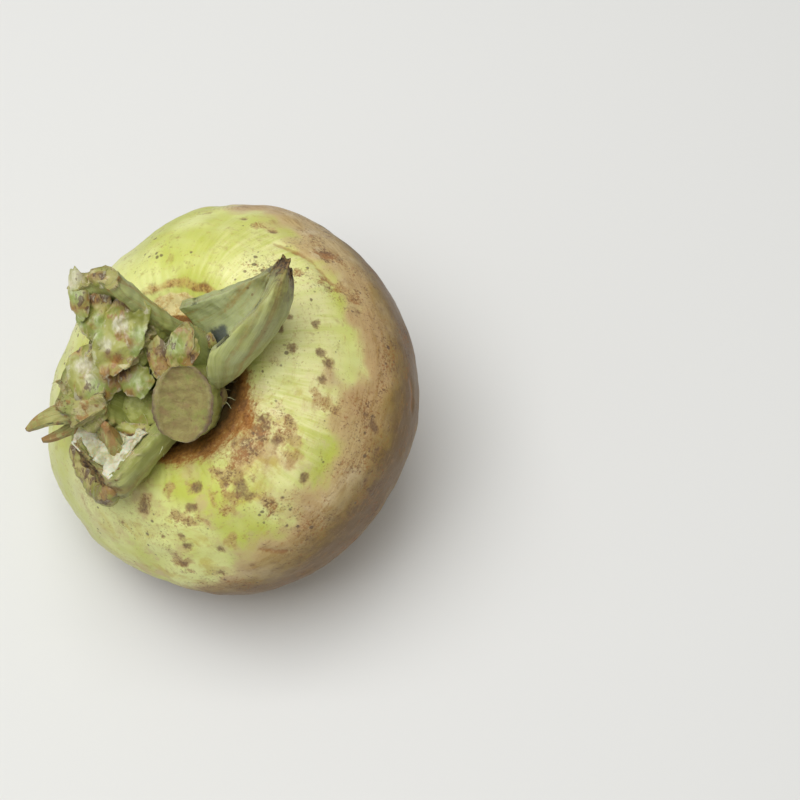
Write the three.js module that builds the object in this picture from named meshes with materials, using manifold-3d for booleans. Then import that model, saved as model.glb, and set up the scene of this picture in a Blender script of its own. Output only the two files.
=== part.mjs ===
// A turnip as picked: a flattened globe of a root with a pinched crown, its leaf stalks cut short and torn,
// lying a little on one side so that it rests on its flank and on the stub of its tap root.
// Units are millimetres and degrees. The turnip's own frame has its origin at the middle of the globe and its
// crown towards +Z. At the end one group leans it over and stands it on the plane z = 0.

import * as THREE from 'three';
import { mergeVertices } from 'three/addons/utils/BufferGeometryUtils.js';
import Module from 'manifold-3d';

const wasm = await Module();
wasm.setup();

// Driving dimensions of the globe
const GLOBE_RADIUS = 48; // half of the widest diameter
const SHOULDER_HEIGHT = 30.5; // the rim of the crown above the widest line
const GROOVE_DEPTH = 3; // how far the corky groove round the stalks lies below that rim
const GROOVE_RADIUS = 15.5;
const BELLY_DEPTH = 35.5; // where the globe would end below the widest line without a tap root
const TAP_RADIUS = 5.2;
const TAP_DEPTH = 44; // its trimmed end below the widest line

// How it lies: the crown leans over towards an azimuth, and the middle of the globe is REST_HEIGHT up
const LEAN = 26.7;
const LEAN_AZIMUTH = -158.7;
const REST_HEIGHT = 39.6;

// Fineness and clearances
const ROUND_STEPS = 64;
const PROFILE_STEPS = 40;
const STALK_STEPS = 14;
const SECTION_STEPS = 11;
const GAP = 0.3;
const SLACK = 0.04; // the trimmed stalks may be this far off, in fewer triangles

const radians = THREE.MathUtils.degToRad;
const lerp = THREE.MathUtils.lerp;

// Half outline of the root from the middle of the crown down to the cut end of the tap root: [radius, height]
const profile = new THREE.SplineCurve(
  [
    [0, SHOULDER_HEIGHT - 1],
    [7, SHOULDER_HEIGHT - 1.2],
    [12, SHOULDER_HEIGHT - GROOVE_DEPTH + 1],
    [GROOVE_RADIUS, SHOULDER_HEIGHT - GROOVE_DEPTH],
    [GROOVE_RADIUS + 3.5, SHOULDER_HEIGHT - GROOVE_DEPTH + 1.7],
    [GROOVE_RADIUS + 7, SHOULDER_HEIGHT],
    [28, SHOULDER_HEIGHT - 0.6],
    [35, SHOULDER_HEIGHT - 5],
    [41.5, SHOULDER_HEIGHT - 12.5],
    [46.2, SHOULDER_HEIGHT - 21.5],
    [GLOBE_RADIUS, -0.5],
    [46.6, -11],
    [42, -19.5],
    [35, -26.6],
    [26, -31.8],
    [16.5, -BELLY_DEPTH],
    [9.6, -BELLY_DEPTH - 2.3],
    [TAP_RADIUS + 1.2, -TAP_DEPTH + 3.6],
    [TAP_RADIUS, -TAP_DEPTH + 1.6],
    [TAP_RADIUS - 0.8, -TAP_DEPTH + 0.4],
    [0, -TAP_DEPTH],
  ].map(([radius, height]) => new THREE.Vector2(radius, height)),
);

// A real root is never quite round: slow swellings, as [lobes round it, share of the radius, azimuth of the swelling]
const SWELLINGS = [
  [1, 0.009, 141],
  [2, 0.02, 60],
  [3, 0.02, -38],
  [4, 0.013, 8],
  [5, 0.004, -11],
];

const lean = new THREE.Quaternion().setFromAxisAngle(
  new THREE.Vector3(-Math.sin(radians(LEAN_AZIMUTH)), Math.cos(radians(LEAN_AZIMUTH)), 0),
  radians(LEAN),
);
const down = new THREE.Vector3(0, 0, -1).applyQuaternion(lean.clone().invert());

// The root's surface in its own frame, at a share of the outline and an azimuth, pushed out by grow
function rootPoint(share, azimuth, grow) {
  const place = profile.getPoint(share);
  const along = profile.getTangent(share);
  const body = Math.min(1, place.x / GLOBE_RADIUS) ** 2;
  const swelling = SWELLINGS.reduce(
    (sum, [lobes, size, peak]) => sum + size * Math.cos(lobes * (azimuth - radians(peak))),
    0,
  );
  const radius = place.x * (1 + swelling * body) - along.y * grow;
  const height = place.y * (1 + 0.5 * swelling * body) + along.x * grow;
  const point = new THREE.Vector3(radius * Math.cos(azimuth), radius * Math.sin(azimuth), height);
  const sunk = point.dot(down) - REST_HEIGHT - grow;
  return sunk > 0 ? point.addScaledVector(down, -sunk) : point;
}

// The faces between rings of points, each with as many points
function sides(rings) {
  const round = rings[0].length;
  const faces = [];
  for (let r = 0; r < rings.length - 1; r++) {
    for (let i = 0; i < round; i++) {
      const j = (i + 1) % round;
      const [low, high] = [r * round, (r + 1) * round];
      faces.push([low + i, low + j, high + j], [low + i, high + j, high + i]);
    }
  }
  return faces;
}

function geometryFrom(points, faces) {
  return new THREE.BufferGeometry().setFromPoints(points).setIndex(faces.flat());
}

function rootGeometry(grow) {
  const rings = [];
  for (let r = PROFILE_STEPS - 1; r > 0; r--) {
    const ring = [];
    for (let i = 0; i < ROUND_STEPS; i++) {
      ring.push(rootPoint(r / PROFILE_STEPS, (2 * Math.PI * i) / ROUND_STEPS, grow));
    }
    rings.push(ring);
  }
  const points = [...rings.flat(), rootPoint(1, 0, grow), rootPoint(0, 0, grow)];
  const [lowPole, highPole] = [points.length - 2, points.length - 1];
  const faces = sides(rings);
  for (let i = 0; i < ROUND_STEPS; i++) {
    const j = (i + 1) % ROUND_STEPS;
    faces.push([lowPole, j, i], [lowPole - ROUND_STEPS + i, lowPole - ROUND_STEPS + j, highPole]);
  }
  return geometryFrom(points, faces);
}

// Leaf stalks. Each starts at an azimuth and reach from the crown's axis, heads outwards at a slope that goes from
// riseFrom to riseTo, and is a thick strip folded into a channel. width, thick, edge and fold are given at its foot,
// middle and end: width is measured round the fold, thick is at the midrib, edge at the margins, and fold is the
// angle that each side turns up. roll turns the channel sideways. cut slants its end, towards the channel and sideways.
const STALKS = {
  stalk_tall: {
    azimuth: 96, reach: 9, foot: 27, heading: 90, swing: 8, riseFrom: 88, riseTo: 72, length: 34,
    width: [34, 27, 20], thick: [6, 5, 4.4], edge: [2.6, 2.8, 3.4], fold: [88, 88, 84], roll: [0, 0, 0], cut: [6, 0],
  },
  stalk_pointed: {
    azimuth: 0, reach: 10.2, foot: 27, heading: -16, swing: 92, riseFrom: 40, riseTo: 6, length: 40,
    width: [36, 30, 12], thick: [4.6, 4.4, 2.4], edge: [2, 1.8, 1.4], fold: [84, 94, 74], roll: [0, -30, -40],
    cut: [0, 0],
  },
  stalk_hooded: {
    azimuth: -100, reach: 9, foot: 28, heading: -122, swing: -14, riseFrom: 28, riseTo: 2, length: 25.5,
    width: [24, 25, 18], thick: [5, 5, 7], edge: [2, 2.2, 3], fold: [60, 84, 84], roll: [10, 10, 10], cut: [-34, 0],
  },
  stalk_round: {
    azimuth: -46, reach: 8.6, foot: 26, heading: -48, swing: 0, riseFrom: 66, riseTo: 58, length: 21,
    width: [17, 16, 16.5], thick: [15, 13.6, 13.2], edge: [6, 6, 6], fold: [16, 12, 8], roll: [40, 40, 40],
    cut: [-4, 0],
  },
  stalk_short: {
    azimuth: 8, reach: 9.4, foot: 27, heading: -20, swing: 0, riseFrom: 82, riseTo: 78, length: 18,
    width: [10, 8.5, 8], thick: [6.5, 6, 5.5], edge: [2, 2, 2], fold: [40, 40, 40], roll: [0, 0, 0], cut: [-20, 10],
  },
  stalk_torn: {
    azimuth: -125, reach: 8, foot: 27, heading: 152, swing: 0, riseFrom: 78, riseTo: 66, length: 23,
    width: [22, 24, 24], thick: [6, 7, 8], edge: [3, 4, 5], fold: [60, 60, 62], roll: [0, 0, 0], cut: [-30, 10],
  },
  stalk_heart: {
    azimuth: 60, reach: 4, foot: 27, heading: 155, swing: 0, riseFrom: 90, riseTo: 88, length: 27,
    width: [13, 14, 15], thick: [9, 9.5, 10], edge: [4, 4, 4], fold: [16, 16, 16], roll: [0, 0, 0], cut: [-33, 8],
  },
  scale_leaf: {
    azimuth: -118, reach: 22, foot: 33, heading: 70, swing: 0, riseFrom: 74, riseTo: 60, length: 12,
    width: [8, 7, 2], thick: [5, 4, 1.4], edge: [1.6, 1.6, 1], fold: [50, 40, 20], roll: [150, 150, 150], cut: [0, 0],
  },
  sliver_long: {
    azimuth: -140, reach: 18, foot: 43.5, heading: 168, swing: 34, riseFrom: 16, riseTo: -14, length: 16.5,
    width: [5, 4.6, 1], thick: [2, 1.8, 0.8], edge: [1, 1, 0.7], fold: [40, 34, 20], roll: [0, 0, 0], cut: [0, 0],
  },
  sliver_short: {
    azimuth: -146, reach: 20, foot: 40, heading: -150, swing: -20, riseFrom: -10, riseTo: 16, length: 12,
    width: [3, 2.6, 1], thick: [1.6, 1.4, 0.8], edge: [0.9, 0.8, 0.7], fold: [30, 30, 20], roll: [0, 0, 0],
    cut: [0, 0],
  },
};

// Value at t of the parabola through a foot, a middle and an end value
function bend([foot, middle, end], t) {
  return foot * (1 - t) * (1 - 2 * t) + middle * 4 * t * (1 - t) + end * t * (2 * t - 1);
}

// One ring of a stalk: outer face from margin to margin, then the channel face back
function section(stalk, t, centre, side, face, along, grow) {
  const turn = radians(bend(stalk.fold, t));
  const radius = bend(stalk.width, t) / (2 * turn);
  const ring = [];
  for (let i = 0; i < 2 * SECTION_STEPS; i++) {
    const outer = i < SECTION_STEPS;
    const step = outer ? i : 2 * SECTION_STEPS - 1 - i;
    const margin = Math.sin(((step / (SECTION_STEPS - 1)) * 2 - 1) * (Math.PI / 2));
    const share = Math.sqrt(Math.max(0, 1 - margin * margin));
    const half = lerp(bend(stalk.edge, t), bend(stalk.thick, t), share) / 2 + grow;
    const angle = margin * (turn + grow / radius);
    const reach = outer ? radius + half : radius - Math.min(half, radius * 0.9);
    const [across, out] = [reach * Math.sin(angle), radius - reach * Math.cos(angle)];
    const slant = (Math.tan(radians(stalk.cut[0])) * out + Math.tan(radians(stalk.cut[1])) * across) * t ** 4;
    ring.push(centre.clone().addScaledVector(side, across).addScaledVector(face, out).addScaledVector(along, slant));
  }
  return ring;
}

function stalkGeometry(stalk, grow) {
  const foot = radians(stalk.azimuth);
  const centre = new THREE.Vector3(Math.cos(foot) * stalk.reach, Math.sin(foot) * stalk.reach, stalk.foot);
  const rings = [];
  for (let i = 0; i <= STALK_STEPS; i++) {
    const t = i / STALK_STEPS;
    const rise = radians(lerp(stalk.riseFrom, stalk.riseTo, t));
    const heading = radians(stalk.heading + stalk.swing * t);
    const outward = new THREE.Vector3(Math.cos(heading), Math.sin(heading), 0);
    const along = outward.clone().multiplyScalar(Math.cos(rise)).setZ(Math.sin(rise));
    const flat = outward.clone().multiplyScalar(-Math.sin(rise)).setZ(Math.cos(rise));
    const face = flat.applyAxisAngle(along, radians(bend(stalk.roll, t)));
    const side = new THREE.Vector3().crossVectors(face, along);
    if (i > 0) centre.addScaledVector(along, stalk.length / STALK_STEPS);
    const past = i === 0 ? -grow : i === STALK_STEPS ? grow : 0;
    rings.push(section(stalk, t, centre.clone().addScaledVector(along, past), side, face, along, grow));
  }
  const faces = sides(rings);
  const last = STALK_STEPS * 2 * SECTION_STEPS;
  for (let i = 0; i < SECTION_STEPS - 1; i++) {
    const [a, b, c, d] = [i, i + 1, 2 * SECTION_STEPS - 2 - i, 2 * SECTION_STEPS - 1 - i];
    faces.push([a, c, b], [a, d, c], [last + a, last + b, last + c], [last + a, last + c, last + d]);
  }
  return geometryFrom(rings.flat(), faces);
}

function solidOf(geometry) {
  const merged = mergeVertices(geometry, 1e-3);
  return new wasm.Manifold(
    new wasm.Mesh({
      numProp: 3,
      vertProperties: merged.attributes.position.array,
      triVerts: new Uint32Array(merged.index.array),
    }),
  );
}

function geometryOf(solid) {
  const mesh = solid.getMesh();
  const geometry = new THREE.BufferGeometry();
  geometry.setAttribute('position', new THREE.BufferAttribute(new Float32Array(mesh.vertProperties), 3));
  geometry.setIndex(new THREE.BufferAttribute(mesh.triVerts, 1));
  geometry.computeVertexNormals();
  return geometry;
}

function largest(solid) {
  return solid.decompose().reduce((a, b) => (b.volume() > a.volume() ? b : a));
}

function node(name, geometry, colour) {
  const material = new THREE.MeshStandardMaterial({ color: colour, roughness: 0.55, metalness: 0 });
  const mesh = new THREE.Mesh(geometry, material);
  mesh.name = name;
  return mesh;
}

const SKIN_GREEN = '#c3c874';
const STALK_GREEN = '#9aa568';

const turnip = new THREE.Group();
turnip.quaternion.copy(lean);

const root = rootGeometry(0);
root.computeVertexNormals();
turnip.add(node('swollen_root', root, SKIN_GREEN));

// Each stalk is trimmed by the root and by the stalks before it, and stands clear of them by the gap
let taken = solidOf(rootGeometry(GAP));
for (const [name, stalk] of Object.entries(STALKS)) {
  const whole = solidOf(stalkGeometry(stalk, 0));
  turnip.add(node(name, geometryOf(largest(whole.subtract(taken)).simplify(SLACK)), STALK_GREEN));
  taken = taken.add(solidOf(stalkGeometry(stalk, GAP)));
}

// The middle of the flat spot on the flank becomes the origin
const spot = new THREE.Vector3();
const positions = root.attributes.position;
let touching = 0;
for (let i = 0; i < positions.count; i++) {
  const point = new THREE.Vector3().fromBufferAttribute(positions, i);
  if (point.dot(down) > REST_HEIGHT - 1e-3 && Math.hypot(point.x, point.y) > 2 * TAP_RADIUS) {
    spot.add(point);
    touching += 1;
  }
}
turnip.position.copy(spot.divideScalar(touching).applyQuaternion(lean)).negate();

const part = new THREE.Group();
part.add(turnip);
export default part;
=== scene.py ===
# %% [markdown]
# # A turnip with its stalks cut short, seen from above
#
# A turnip is mostly one smooth, swollen root. What makes it look real is not its outline but its skin: waxy
# yellow-green on the side that grew in the light, tan where it lay on the soil, corky and brown round the
# neck, with pits, scars and specks everywhere. On top stand the stalks, which are thick folded strips that
# were cut and torn. The solid model gives every size and place. This script keeps them and adds the
# surface.
#
# First the imported model is loaded. Its root's box later gives the place of the root on the floor.

# %% Load the solid model
import math

import bpy
import numpy as np
from mathutils import Matrix, Vector, noise


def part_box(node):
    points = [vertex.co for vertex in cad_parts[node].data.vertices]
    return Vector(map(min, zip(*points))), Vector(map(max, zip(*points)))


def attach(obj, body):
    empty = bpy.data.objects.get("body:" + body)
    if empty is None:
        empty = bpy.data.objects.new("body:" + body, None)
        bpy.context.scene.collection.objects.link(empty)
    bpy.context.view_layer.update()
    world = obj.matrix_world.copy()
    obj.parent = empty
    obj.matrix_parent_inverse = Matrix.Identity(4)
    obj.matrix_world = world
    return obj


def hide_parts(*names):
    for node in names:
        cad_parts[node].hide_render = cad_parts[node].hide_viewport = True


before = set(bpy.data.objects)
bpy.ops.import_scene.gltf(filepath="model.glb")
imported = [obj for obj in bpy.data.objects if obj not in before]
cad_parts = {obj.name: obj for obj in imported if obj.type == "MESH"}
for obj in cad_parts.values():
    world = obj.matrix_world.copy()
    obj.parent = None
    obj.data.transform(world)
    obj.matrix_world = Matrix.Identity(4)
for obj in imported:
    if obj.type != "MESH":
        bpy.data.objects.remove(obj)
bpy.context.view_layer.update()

# %% [markdown]
# ## Camera
#
# The picture was taken from above and a little in front, 65 degrees up, with a lens that is about 85 mm on
# a 36 mm wide sensor. A camera can be aimed with a Track To constraint, but here its three axes are written
# out as a matrix, because then the distance and the place of the turnip in the picture are plain sums.

# %% Camera
MM = 0.001
PICTURE_WIDTH = 800
LENS = 85
SENSOR = 36
ELEVATION = math.radians(65)
PIXELS_PER_MM = 4.025
TURNIP_PIXEL = (231.8, 400.3)

pixels_per_radian = PICTURE_WIDTH * LENS / SENSOR
right = Vector((1, 0, 0))
up = Vector((0, math.sin(ELEVATION), math.cos(ELEVATION)))
back = Vector((0, -math.cos(ELEVATION), math.sin(ELEVATION)))

camera_data = bpy.data.cameras.new("camera")
camera_data.lens = LENS
camera_data.sensor_width = SENSOR
camera = bpy.data.objects.new("camera", camera_data)
bpy.context.scene.collection.objects.link(camera)
bpy.context.scene.camera = camera


def aim_camera(target):
    """Puts the camera where the target, in metres, falls on its pixel of the picture."""
    half = PICTURE_WIDTH / 2
    aside = right * (half - TURNIP_PIXEL[0]) + up * (TURNIP_PIXEL[1] - half)
    place = target + (aside + back * pixels_per_radian) / PIXELS_PER_MM * MM
    camera.matrix_world = Matrix.Translation(place) @ Matrix((right, up, back)).transposed().to_4x4()
    print("camera at", [round(v, 3) for v in place])


# %% [markdown]
# ## Light and floor
#
# Soft light has no hard shadow edge because it comes from a large area. One large lamp at the upper left is
# the window, a wide weak one opposite keeps the shaded side from going black, and an even white world fills
# the rest. The floor is plain and pale. The view transform is Standard, so that a colour that we pick stays
# that colour.

# %% Colours and nodes
scene = bpy.context.scene
scene.view_settings.view_transform = "Standard"


def linear(hex_colour, alpha=1.0):
    """An sRGB colour such as "c8d257" as the linear values that a shader takes."""
    channels = [int(hex_colour[i : i + 2], 16) / 255 for i in (0, 2, 4)]
    return [c / 12.92 if c <= 0.04045 else ((c + 0.055) / 1.055) ** 2.4 for c in channels] + [alpha]


def add_node(tree, kind, links=None, inputs=None, **settings):
    """Adds a node, sets its settings and input values, and links sockets into its inputs."""
    made = tree.nodes.new(kind)
    for name, value in settings.items():
        setattr(made, name, value)
    for name, value in (inputs or {}).items():
        made.inputs[name].default_value = value
    for name, socket in (links or {}).items():
        tree.links.new(socket, made.inputs[name])
    return made


# %% Lamps and world
def add_lamp(name, place, size, power, target=(0.01, 0.004, 0.04)):
    """A square lamp of a size in metres and a power in watts, turned towards the turnip."""
    data = bpy.data.lights.new(name, "AREA")
    data.shape = "SQUARE"
    data.size = size
    data.energy = power
    lamp = bpy.data.objects.new(name, data)
    scene.collection.objects.link(lamp)
    lamp.location = place
    lamp.rotation_euler = (Vector(target) - Vector(place)).to_track_quat("-Z", "Y").to_euler()
    return lamp


add_lamp("window_light", (-0.16, -0.02, 0.98), 0.8, 9.4)
add_lamp("fill_light", (-0.7, -0.3, 0.6), 0.9, 0.7)

world = bpy.data.worlds.new("studio")
world.use_nodes = True
world.node_tree.nodes["Background"].inputs["Color"].default_value = linear("ffffff")
world.node_tree.nodes["Background"].inputs["Strength"].default_value = 0.3
scene.world = world
print("two lamps and an even white world")

# %% Floor of matt paper: it scatters light evenly, so it shows a soft shadow and no reflection
paper = bpy.data.materials.new("pale_paper_floor")
paper.use_nodes = True
paper.node_tree.nodes["Principled BSDF"].inputs["Base Color"].default_value = linear("dededb")
paper.node_tree.nodes["Principled BSDF"].inputs["Roughness"].default_value = 0.9

FLOOR_HALF = 2.0
floor_mesh = bpy.data.meshes.new("floor")
corners = [(x * FLOOR_HALF, y * FLOOR_HALF, 0) for x, y in ((-1, -1), (1, -1), (1, 1), (-1, 1))]
floor_mesh.from_pydata(corners, [], [(0, 1, 2, 3)])
floor = bpy.data.objects.new("floor", floor_mesh)
floor.data.materials.append(paper)
scene.collection.objects.link(floor)
print("floor", 2 * FLOOR_HALF, "m wide")

# %% [markdown]
# ## The swollen root
#
# The root could be sculpted, or a sphere could be pushed into shape. A turned outline is better here,
# because a root grows evenly outwards from its axis: one smooth curve from the middle of the crown to the
# tip of the tap root, swept round the axis, with a few slow swellings that keep it from being perfectly
# round. These are the same values as in the solid model, so the surface lands on it. Only the fineness
# differs.

# %% The outline of the root
GLOBE_RADIUS = 48
REST_HEIGHT = 39.6
LEAN = math.radians(26.7)
LEAN_AZIMUTH = math.radians(-158.7)
RINGS = 236
COLUMNS = 400

# radius and height in mm, from the middle of the crown to the tip of the tap root
OUTLINE = [
    (0, 29.5), (7, 29.3), (12, 28.5), (15.5, 27.5), (19, 29.2), (22.5, 30.5), (28, 29.9), (35, 25.5),
    (41.5, 18), (46.2, 9), (48, -0.5), (46.6, -11), (42, -19.5), (35, -26.6), (26, -31.8),
    (16.5, -35.5), (9.6, -37.8), (6.4, -40.4), (5.2, -42.4), (4.4, -43.6), (0, -44),
]
# lobes round the axis, share of the radius, azimuth of the peak
SWELLINGS = [(1, 0.009, 141), (2, 0.02, 60), (3, 0.02, -38), (4, 0.013, 8), (5, 0.004, -11)]

lean = np.array(Matrix.Rotation(LEAN, 3, Vector((-math.sin(LEAN_AZIMUTH), math.cos(LEAN_AZIMUTH), 0))))
down = lean.T @ np.array([0, 0, -1])


def smooth_curve(knots, shares):
    """Points on the smooth curve through the knots, at shares 0 to 1 of the way."""
    knots = np.asarray(knots, float)
    last = len(knots) - 1
    start = np.minimum((np.asarray(shares) * last).astype(int), last - 1)
    weight = (np.asarray(shares) * last - start)[:, None]
    before, first = knots[np.maximum(start - 1, 0)], knots[start]
    second, after = knots[start + 1], knots[np.minimum(start + 2, last)]
    leave, arrive = (second - before) / 2, (after - first) / 2
    cubic = (2 * first - 2 * second + leave + arrive) * weight**3
    return cubic + (3 * second - 3 * first - 2 * leave - arrive) * weight**2 + leave * weight + first


ring_share = np.arange(1, RINGS) / RINGS
outline = smooth_curve(OUTLINE, ring_share)
ahead = smooth_curve(OUTLINE, np.minimum(ring_share + 1e-3, 1)) - smooth_curve(OUTLINE, ring_share - 1e-3)
ahead /= np.linalg.norm(ahead, axis=1)[:, None]
skin_distance = np.cumsum(np.linalg.norm(np.diff(outline, axis=0, prepend=[OUTLINE[0]]), axis=1))
column_azimuth = np.arange(COLUMNS) / COLUMNS * 2 * math.pi
print("skin from crown to tip", round(skin_distance[-1]), "mm, rings", RINGS, "columns", COLUMNS)

# %% [markdown]
# ### Relief
#
# Relief is added before the mesh is made, as a height in millimetres at every grid point: it costs nothing
# and every later step can ask the same grid where it is. Blender's own noise gives the irregular parts. The
# neck has ring wrinkles where the skin split and healed as corn-like cork, and the belly has only slow
# lumps.


# %% Noise and bands
def lumps(points, size, octaves=3, seed=0.0):
    """Smooth random heights, about -1 to 1, with bumps as wide as size millimetres."""
    return np.array([noise.fractal(Vector(p), 1.0, 2.0, octaves) for p in points / size + seed])


def band(value, low, high, soft):
    """1 between low and high, fading to 0 over soft on both sides."""
    inside = np.minimum(value - low, high - value) / soft
    share = np.clip(inside + 0.5, 0, 1)
    return share * share * (3 - 2 * share)


def turn_apart(azimuth, other):
    """Degrees between azimuths in radians and one in degrees."""
    return np.abs((np.degrees(azimuth) - other + 180) % 360 - 180)


# %% The bare surface
def root_surface(lift):
    """Points of the root's skin, rings by columns, raised by lift in mm, on a flat spot where it rests."""
    body = np.minimum(1, outline[:, :1] / GLOBE_RADIUS) ** 2
    swelling = sum(
        size * np.cos(lobes * (column_azimuth - math.radians(peak))) for lobes, size, peak in SWELLINGS
    )
    radius = outline[:, :1] * (1 + swelling * body) - ahead[:, 1:] * lift
    height = outline[:, 1:] * (1 + 0.5 * swelling * body) + ahead[:, :1] * lift
    points = np.stack([radius * np.cos(column_azimuth), radius * np.sin(column_azimuth), height], axis=-1)
    sunk = np.maximum(points @ down - REST_HEIGHT, 0)
    return points - sunk[..., None] * down


bare = root_surface(np.zeros((RINGS - 1, COLUMNS)))
bare_flat = bare.reshape(-1, 3)
distance = np.repeat(skin_distance[:, None], COLUMNS, axis=1).ravel()
azimuth = np.tile(column_azimuth, RINGS - 1)
above_floor = REST_HEIGHT - bare_flat @ down
print("bare skin of", len(bare_flat), "points, lowest", round(above_floor.min(), 2), "mm above the floor")

# %% [markdown]
# ### Marks that are copied one by one
#
# The largest spots and scars are placed one by one, by azimuth round the crown in degrees and distance
# along the skin from its middle in millimetres. Nobody could tell if the small ones were moved, so noise
# makes those.

# %% Marks on the skin
# azimuth in degrees, distance in mm, radius in mm; a scar has two places and a radius
DARK_MARKS = [
    (26, 47, 1.1), (16, 53, 0.9), (12, 40, 0.9), (2, 33, 1.0), (-4, 42, 1.2), (-9, 41, 1.0),
    (0, 40, 1.0), (-19, 57, 1.1), (-20, 59, 0.9), (-25, 61, 0.8), (-16, 54, 0.9), (68, 45, 0.8),
    (57, 46, 1.0), (12, 31, 1.0), (16, 34, 0.9), (-60, 36, 2.2), (-61, 38.5, 1.9), (-83, 35, 1.4),
    (-77, 31, 1.3), (-64, 34, 0.8), (-104, 34, 1.9), (-99, 42, 0.8), (-92, 42, 1.0), (-92, 45, 1.3),
    (-97, 51, 1.4), (-86, 56, 0.9), (-76, 56, 0.8), (-81, 48, 0.9), (-69, 72, 1.8), (-38, 35, 1.7),
    (-32, 30, 1.9), (-47, 27, 1.8), (-43, 46, 1.2), (-118, 41, 0.9), (-35, 62, 1.2),
]
RUSSET_MARKS = [
    (-90, 36, 1.6), (-86, 38, 1.9), (-82, 38, 1.7), (-15, 40, 1.4), (-17, 43, 1.9), (-17, 46, 1.6),
    (-34, 36, 2.4), (-34, 39, 1.8), (-39, 41, 1.8), (-29, 38, 1.2), (-70, 34, 1.3), (-62, 33, 2.6),
    (-97, 50, 2.4), (-48, 31, 2.6), (-38, 31, 2.6), (34, 41, 1.6), (30, 46, 1.5), (25, 50, 1.7),
    (22, 54, 1.6), (-30, 37, 1.6), (-101, 31, 1.2), (-91, 30, 1.4), (-80, 30, 1.2), (-70, 38, 1.8),
    (-66, 36, 2.2), (-75, 46, 2.0), (-58, 44, 2.2), (62, 44, 1.5), (40, 52, 2.2),
]
SCARS = [
    ((50, 43), (37, 46.5), 0.8), ((34, 47), (27, 48.5), 0.7), ((-2, 70), (-10, 73), 0.8),
    ((-70, 52), (-66, 57), 0.7),
]


# %% Where the marks fall on the skin
def skin_point(place):
    """The point of the bare skin at an azimuth in degrees and a distance from the crown."""
    column = round(place[0] / 360 * COLUMNS) % COLUMNS
    ring = int(np.argmin(np.abs(skin_distance - place[1])))
    return bare[ring, column]


def marked(marks, uneven):
    """1 in the marks and 0 outside, with edges as uneven as the noise given."""
    share = np.zeros(len(bare_flat))
    for *place, radius in marks:
        reach = np.linalg.norm(bare_flat - skin_point(place), axis=1) / radius
        share = np.maximum(share, np.clip(1.6 - reach + uneven, 0, 1))
    return share


def scarred(scars):
    """1 along the scars, which run from one place to another."""
    share = np.zeros(len(bare_flat))
    for start, end, radius in scars:
        first, last = skin_point(start), skin_point(end)
        run = last - first
        along = np.clip((bare_flat - first) @ run / (run @ run), 0, 1)
        reach = np.linalg.norm(bare_flat - first - along[:, None] * run, axis=1) / radius
        share = np.maximum(share, np.clip(1.6 - reach, 0, 1))
    return share


uneven = 0.9 * lumps(bare_flat, 2.2, seed=3.0)
dark = marked(DARK_MARKS, uneven)
russet = marked(RUSSET_MARKS, 1.3 * uneven)
scar = scarred(SCARS)
print("skin share dark", round(dark.mean(), 3), "russet", round(russet.mean(), 3))

# %% [markdown]
# ### Neck, tan side and relief
#
# The corky neck, the tan that lay on soil and the brown towards the lower and right edges, which is partly
# the skin's own colour and partly painted shade, end at lines that wander round the root. Each line could
# be painted, but a root has no fixed edge there, so a line is given by a few distances from the crown at
# azimuths all round. The distance in between is interpolated, and slow noise makes it wander. The relief is
# a sum of small waves, each with its real spacing: neck wrinkles every 2.6 mm and tap root rings every 3.1
# mm.

# %% Neck, tan side and relief
# azimuth in degrees, distance from the crown in mm
NECK_EDGE = [
    (-180, 22), (-120, 24), (-85, 25.5), (-55, 28), (-38, 29.5), (-24, 28), (-14, 26), (-6, 24),
    (25, 20), (50, 19), (180, 19),
]
TAN_FROM = [
    (-180, 92), (-120, 74), (-100, 64), (-81, 58), (-63, 54), (-42, 50), (-20, 48), (-7, 47), (10, 51),
    (24, 51), (37, 48), (54, 47), (70, 52), (90, 60), (120, 70), (180, 92),
]
# Where the brown towards the lower and right edges begins: partly the skin's own brown, partly painted
# shade
BROWN_AND_SHADE_FROM = [
    (-180, 78), (-130, 66), (-111, 59), (-80, 54), (-62, 54), (-40, 53.5), (-10, 54.5), (20, 55),
    (50, 57), (80, 62), (120, 76), (180, 78),
]
slow = lumps(bare_flat, 22, seed=7.0)
medium = lumps(bare_flat, 7, seed=11.0)
fine = lumps(bare_flat, 2.4, 2, seed=19.0)


def edge_at(edge):
    """The distance of an edge that is given by azimuth, at every point of the skin."""
    return np.interp((np.degrees(azimuth) + 180) % 360 - 180, *np.transpose(edge))


neck = np.clip((edge_at(NECK_EDGE) + 1.6 * medium + 0.5 * fine - distance) / 11, 0, 1)
rust = band(-turn_apart(azimuth, -46), -17, 9, 14) * band(distance, 22, 35 + 5 * medium, 8)
cream = band(-turn_apart(azimuth, 80), -24, 9, 12) * band(distance, 14.5, 19.5 + 2 * medium, 2)
collar_line = band(-turn_apart(azimuth, 78), -30, 9, 16)
collar_line *= band(distance, 21 + 1.5 * medium, 23.5 + 1.5 * medium, 1.5)
tap = np.clip((distance - 112) / 16, 0, 1)
tan_side = np.clip((distance - edge_at(TAN_FROM) + 6 * medium + 3 * slow) / 12 + 0.5, 0, 1)
# Ochre to brown towards the lower and right edges, partly the skin's own colour and partly painted shade;
# it fades again far down the underside
edge_brown_and_shade = np.clip((distance - edge_at(BROWN_AND_SHADE_FROM) + 3 * slow + 2 * medium) / 14, 0, 1)
edge_brown_and_shade *= 1 - 0.6 * np.clip((distance - 74 + 4 * slow + 3 * medium) / 14, 0, 1)
pale_side = band(-turn_apart(azimuth, 175), -62, 9, 46) * band(distance, 24, 80, 24)
blush = band(-turn_apart(azimuth, -70), -60, 9, 40) * band(distance, 24, 90, 20)
# Zone right of the crown with cream streaks and a painted highlight that lightens it
cream_and_highlight = band(-turn_apart(azimuth, 5), -60, 9, 50) * band(distance, 24, 46, 8)

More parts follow.
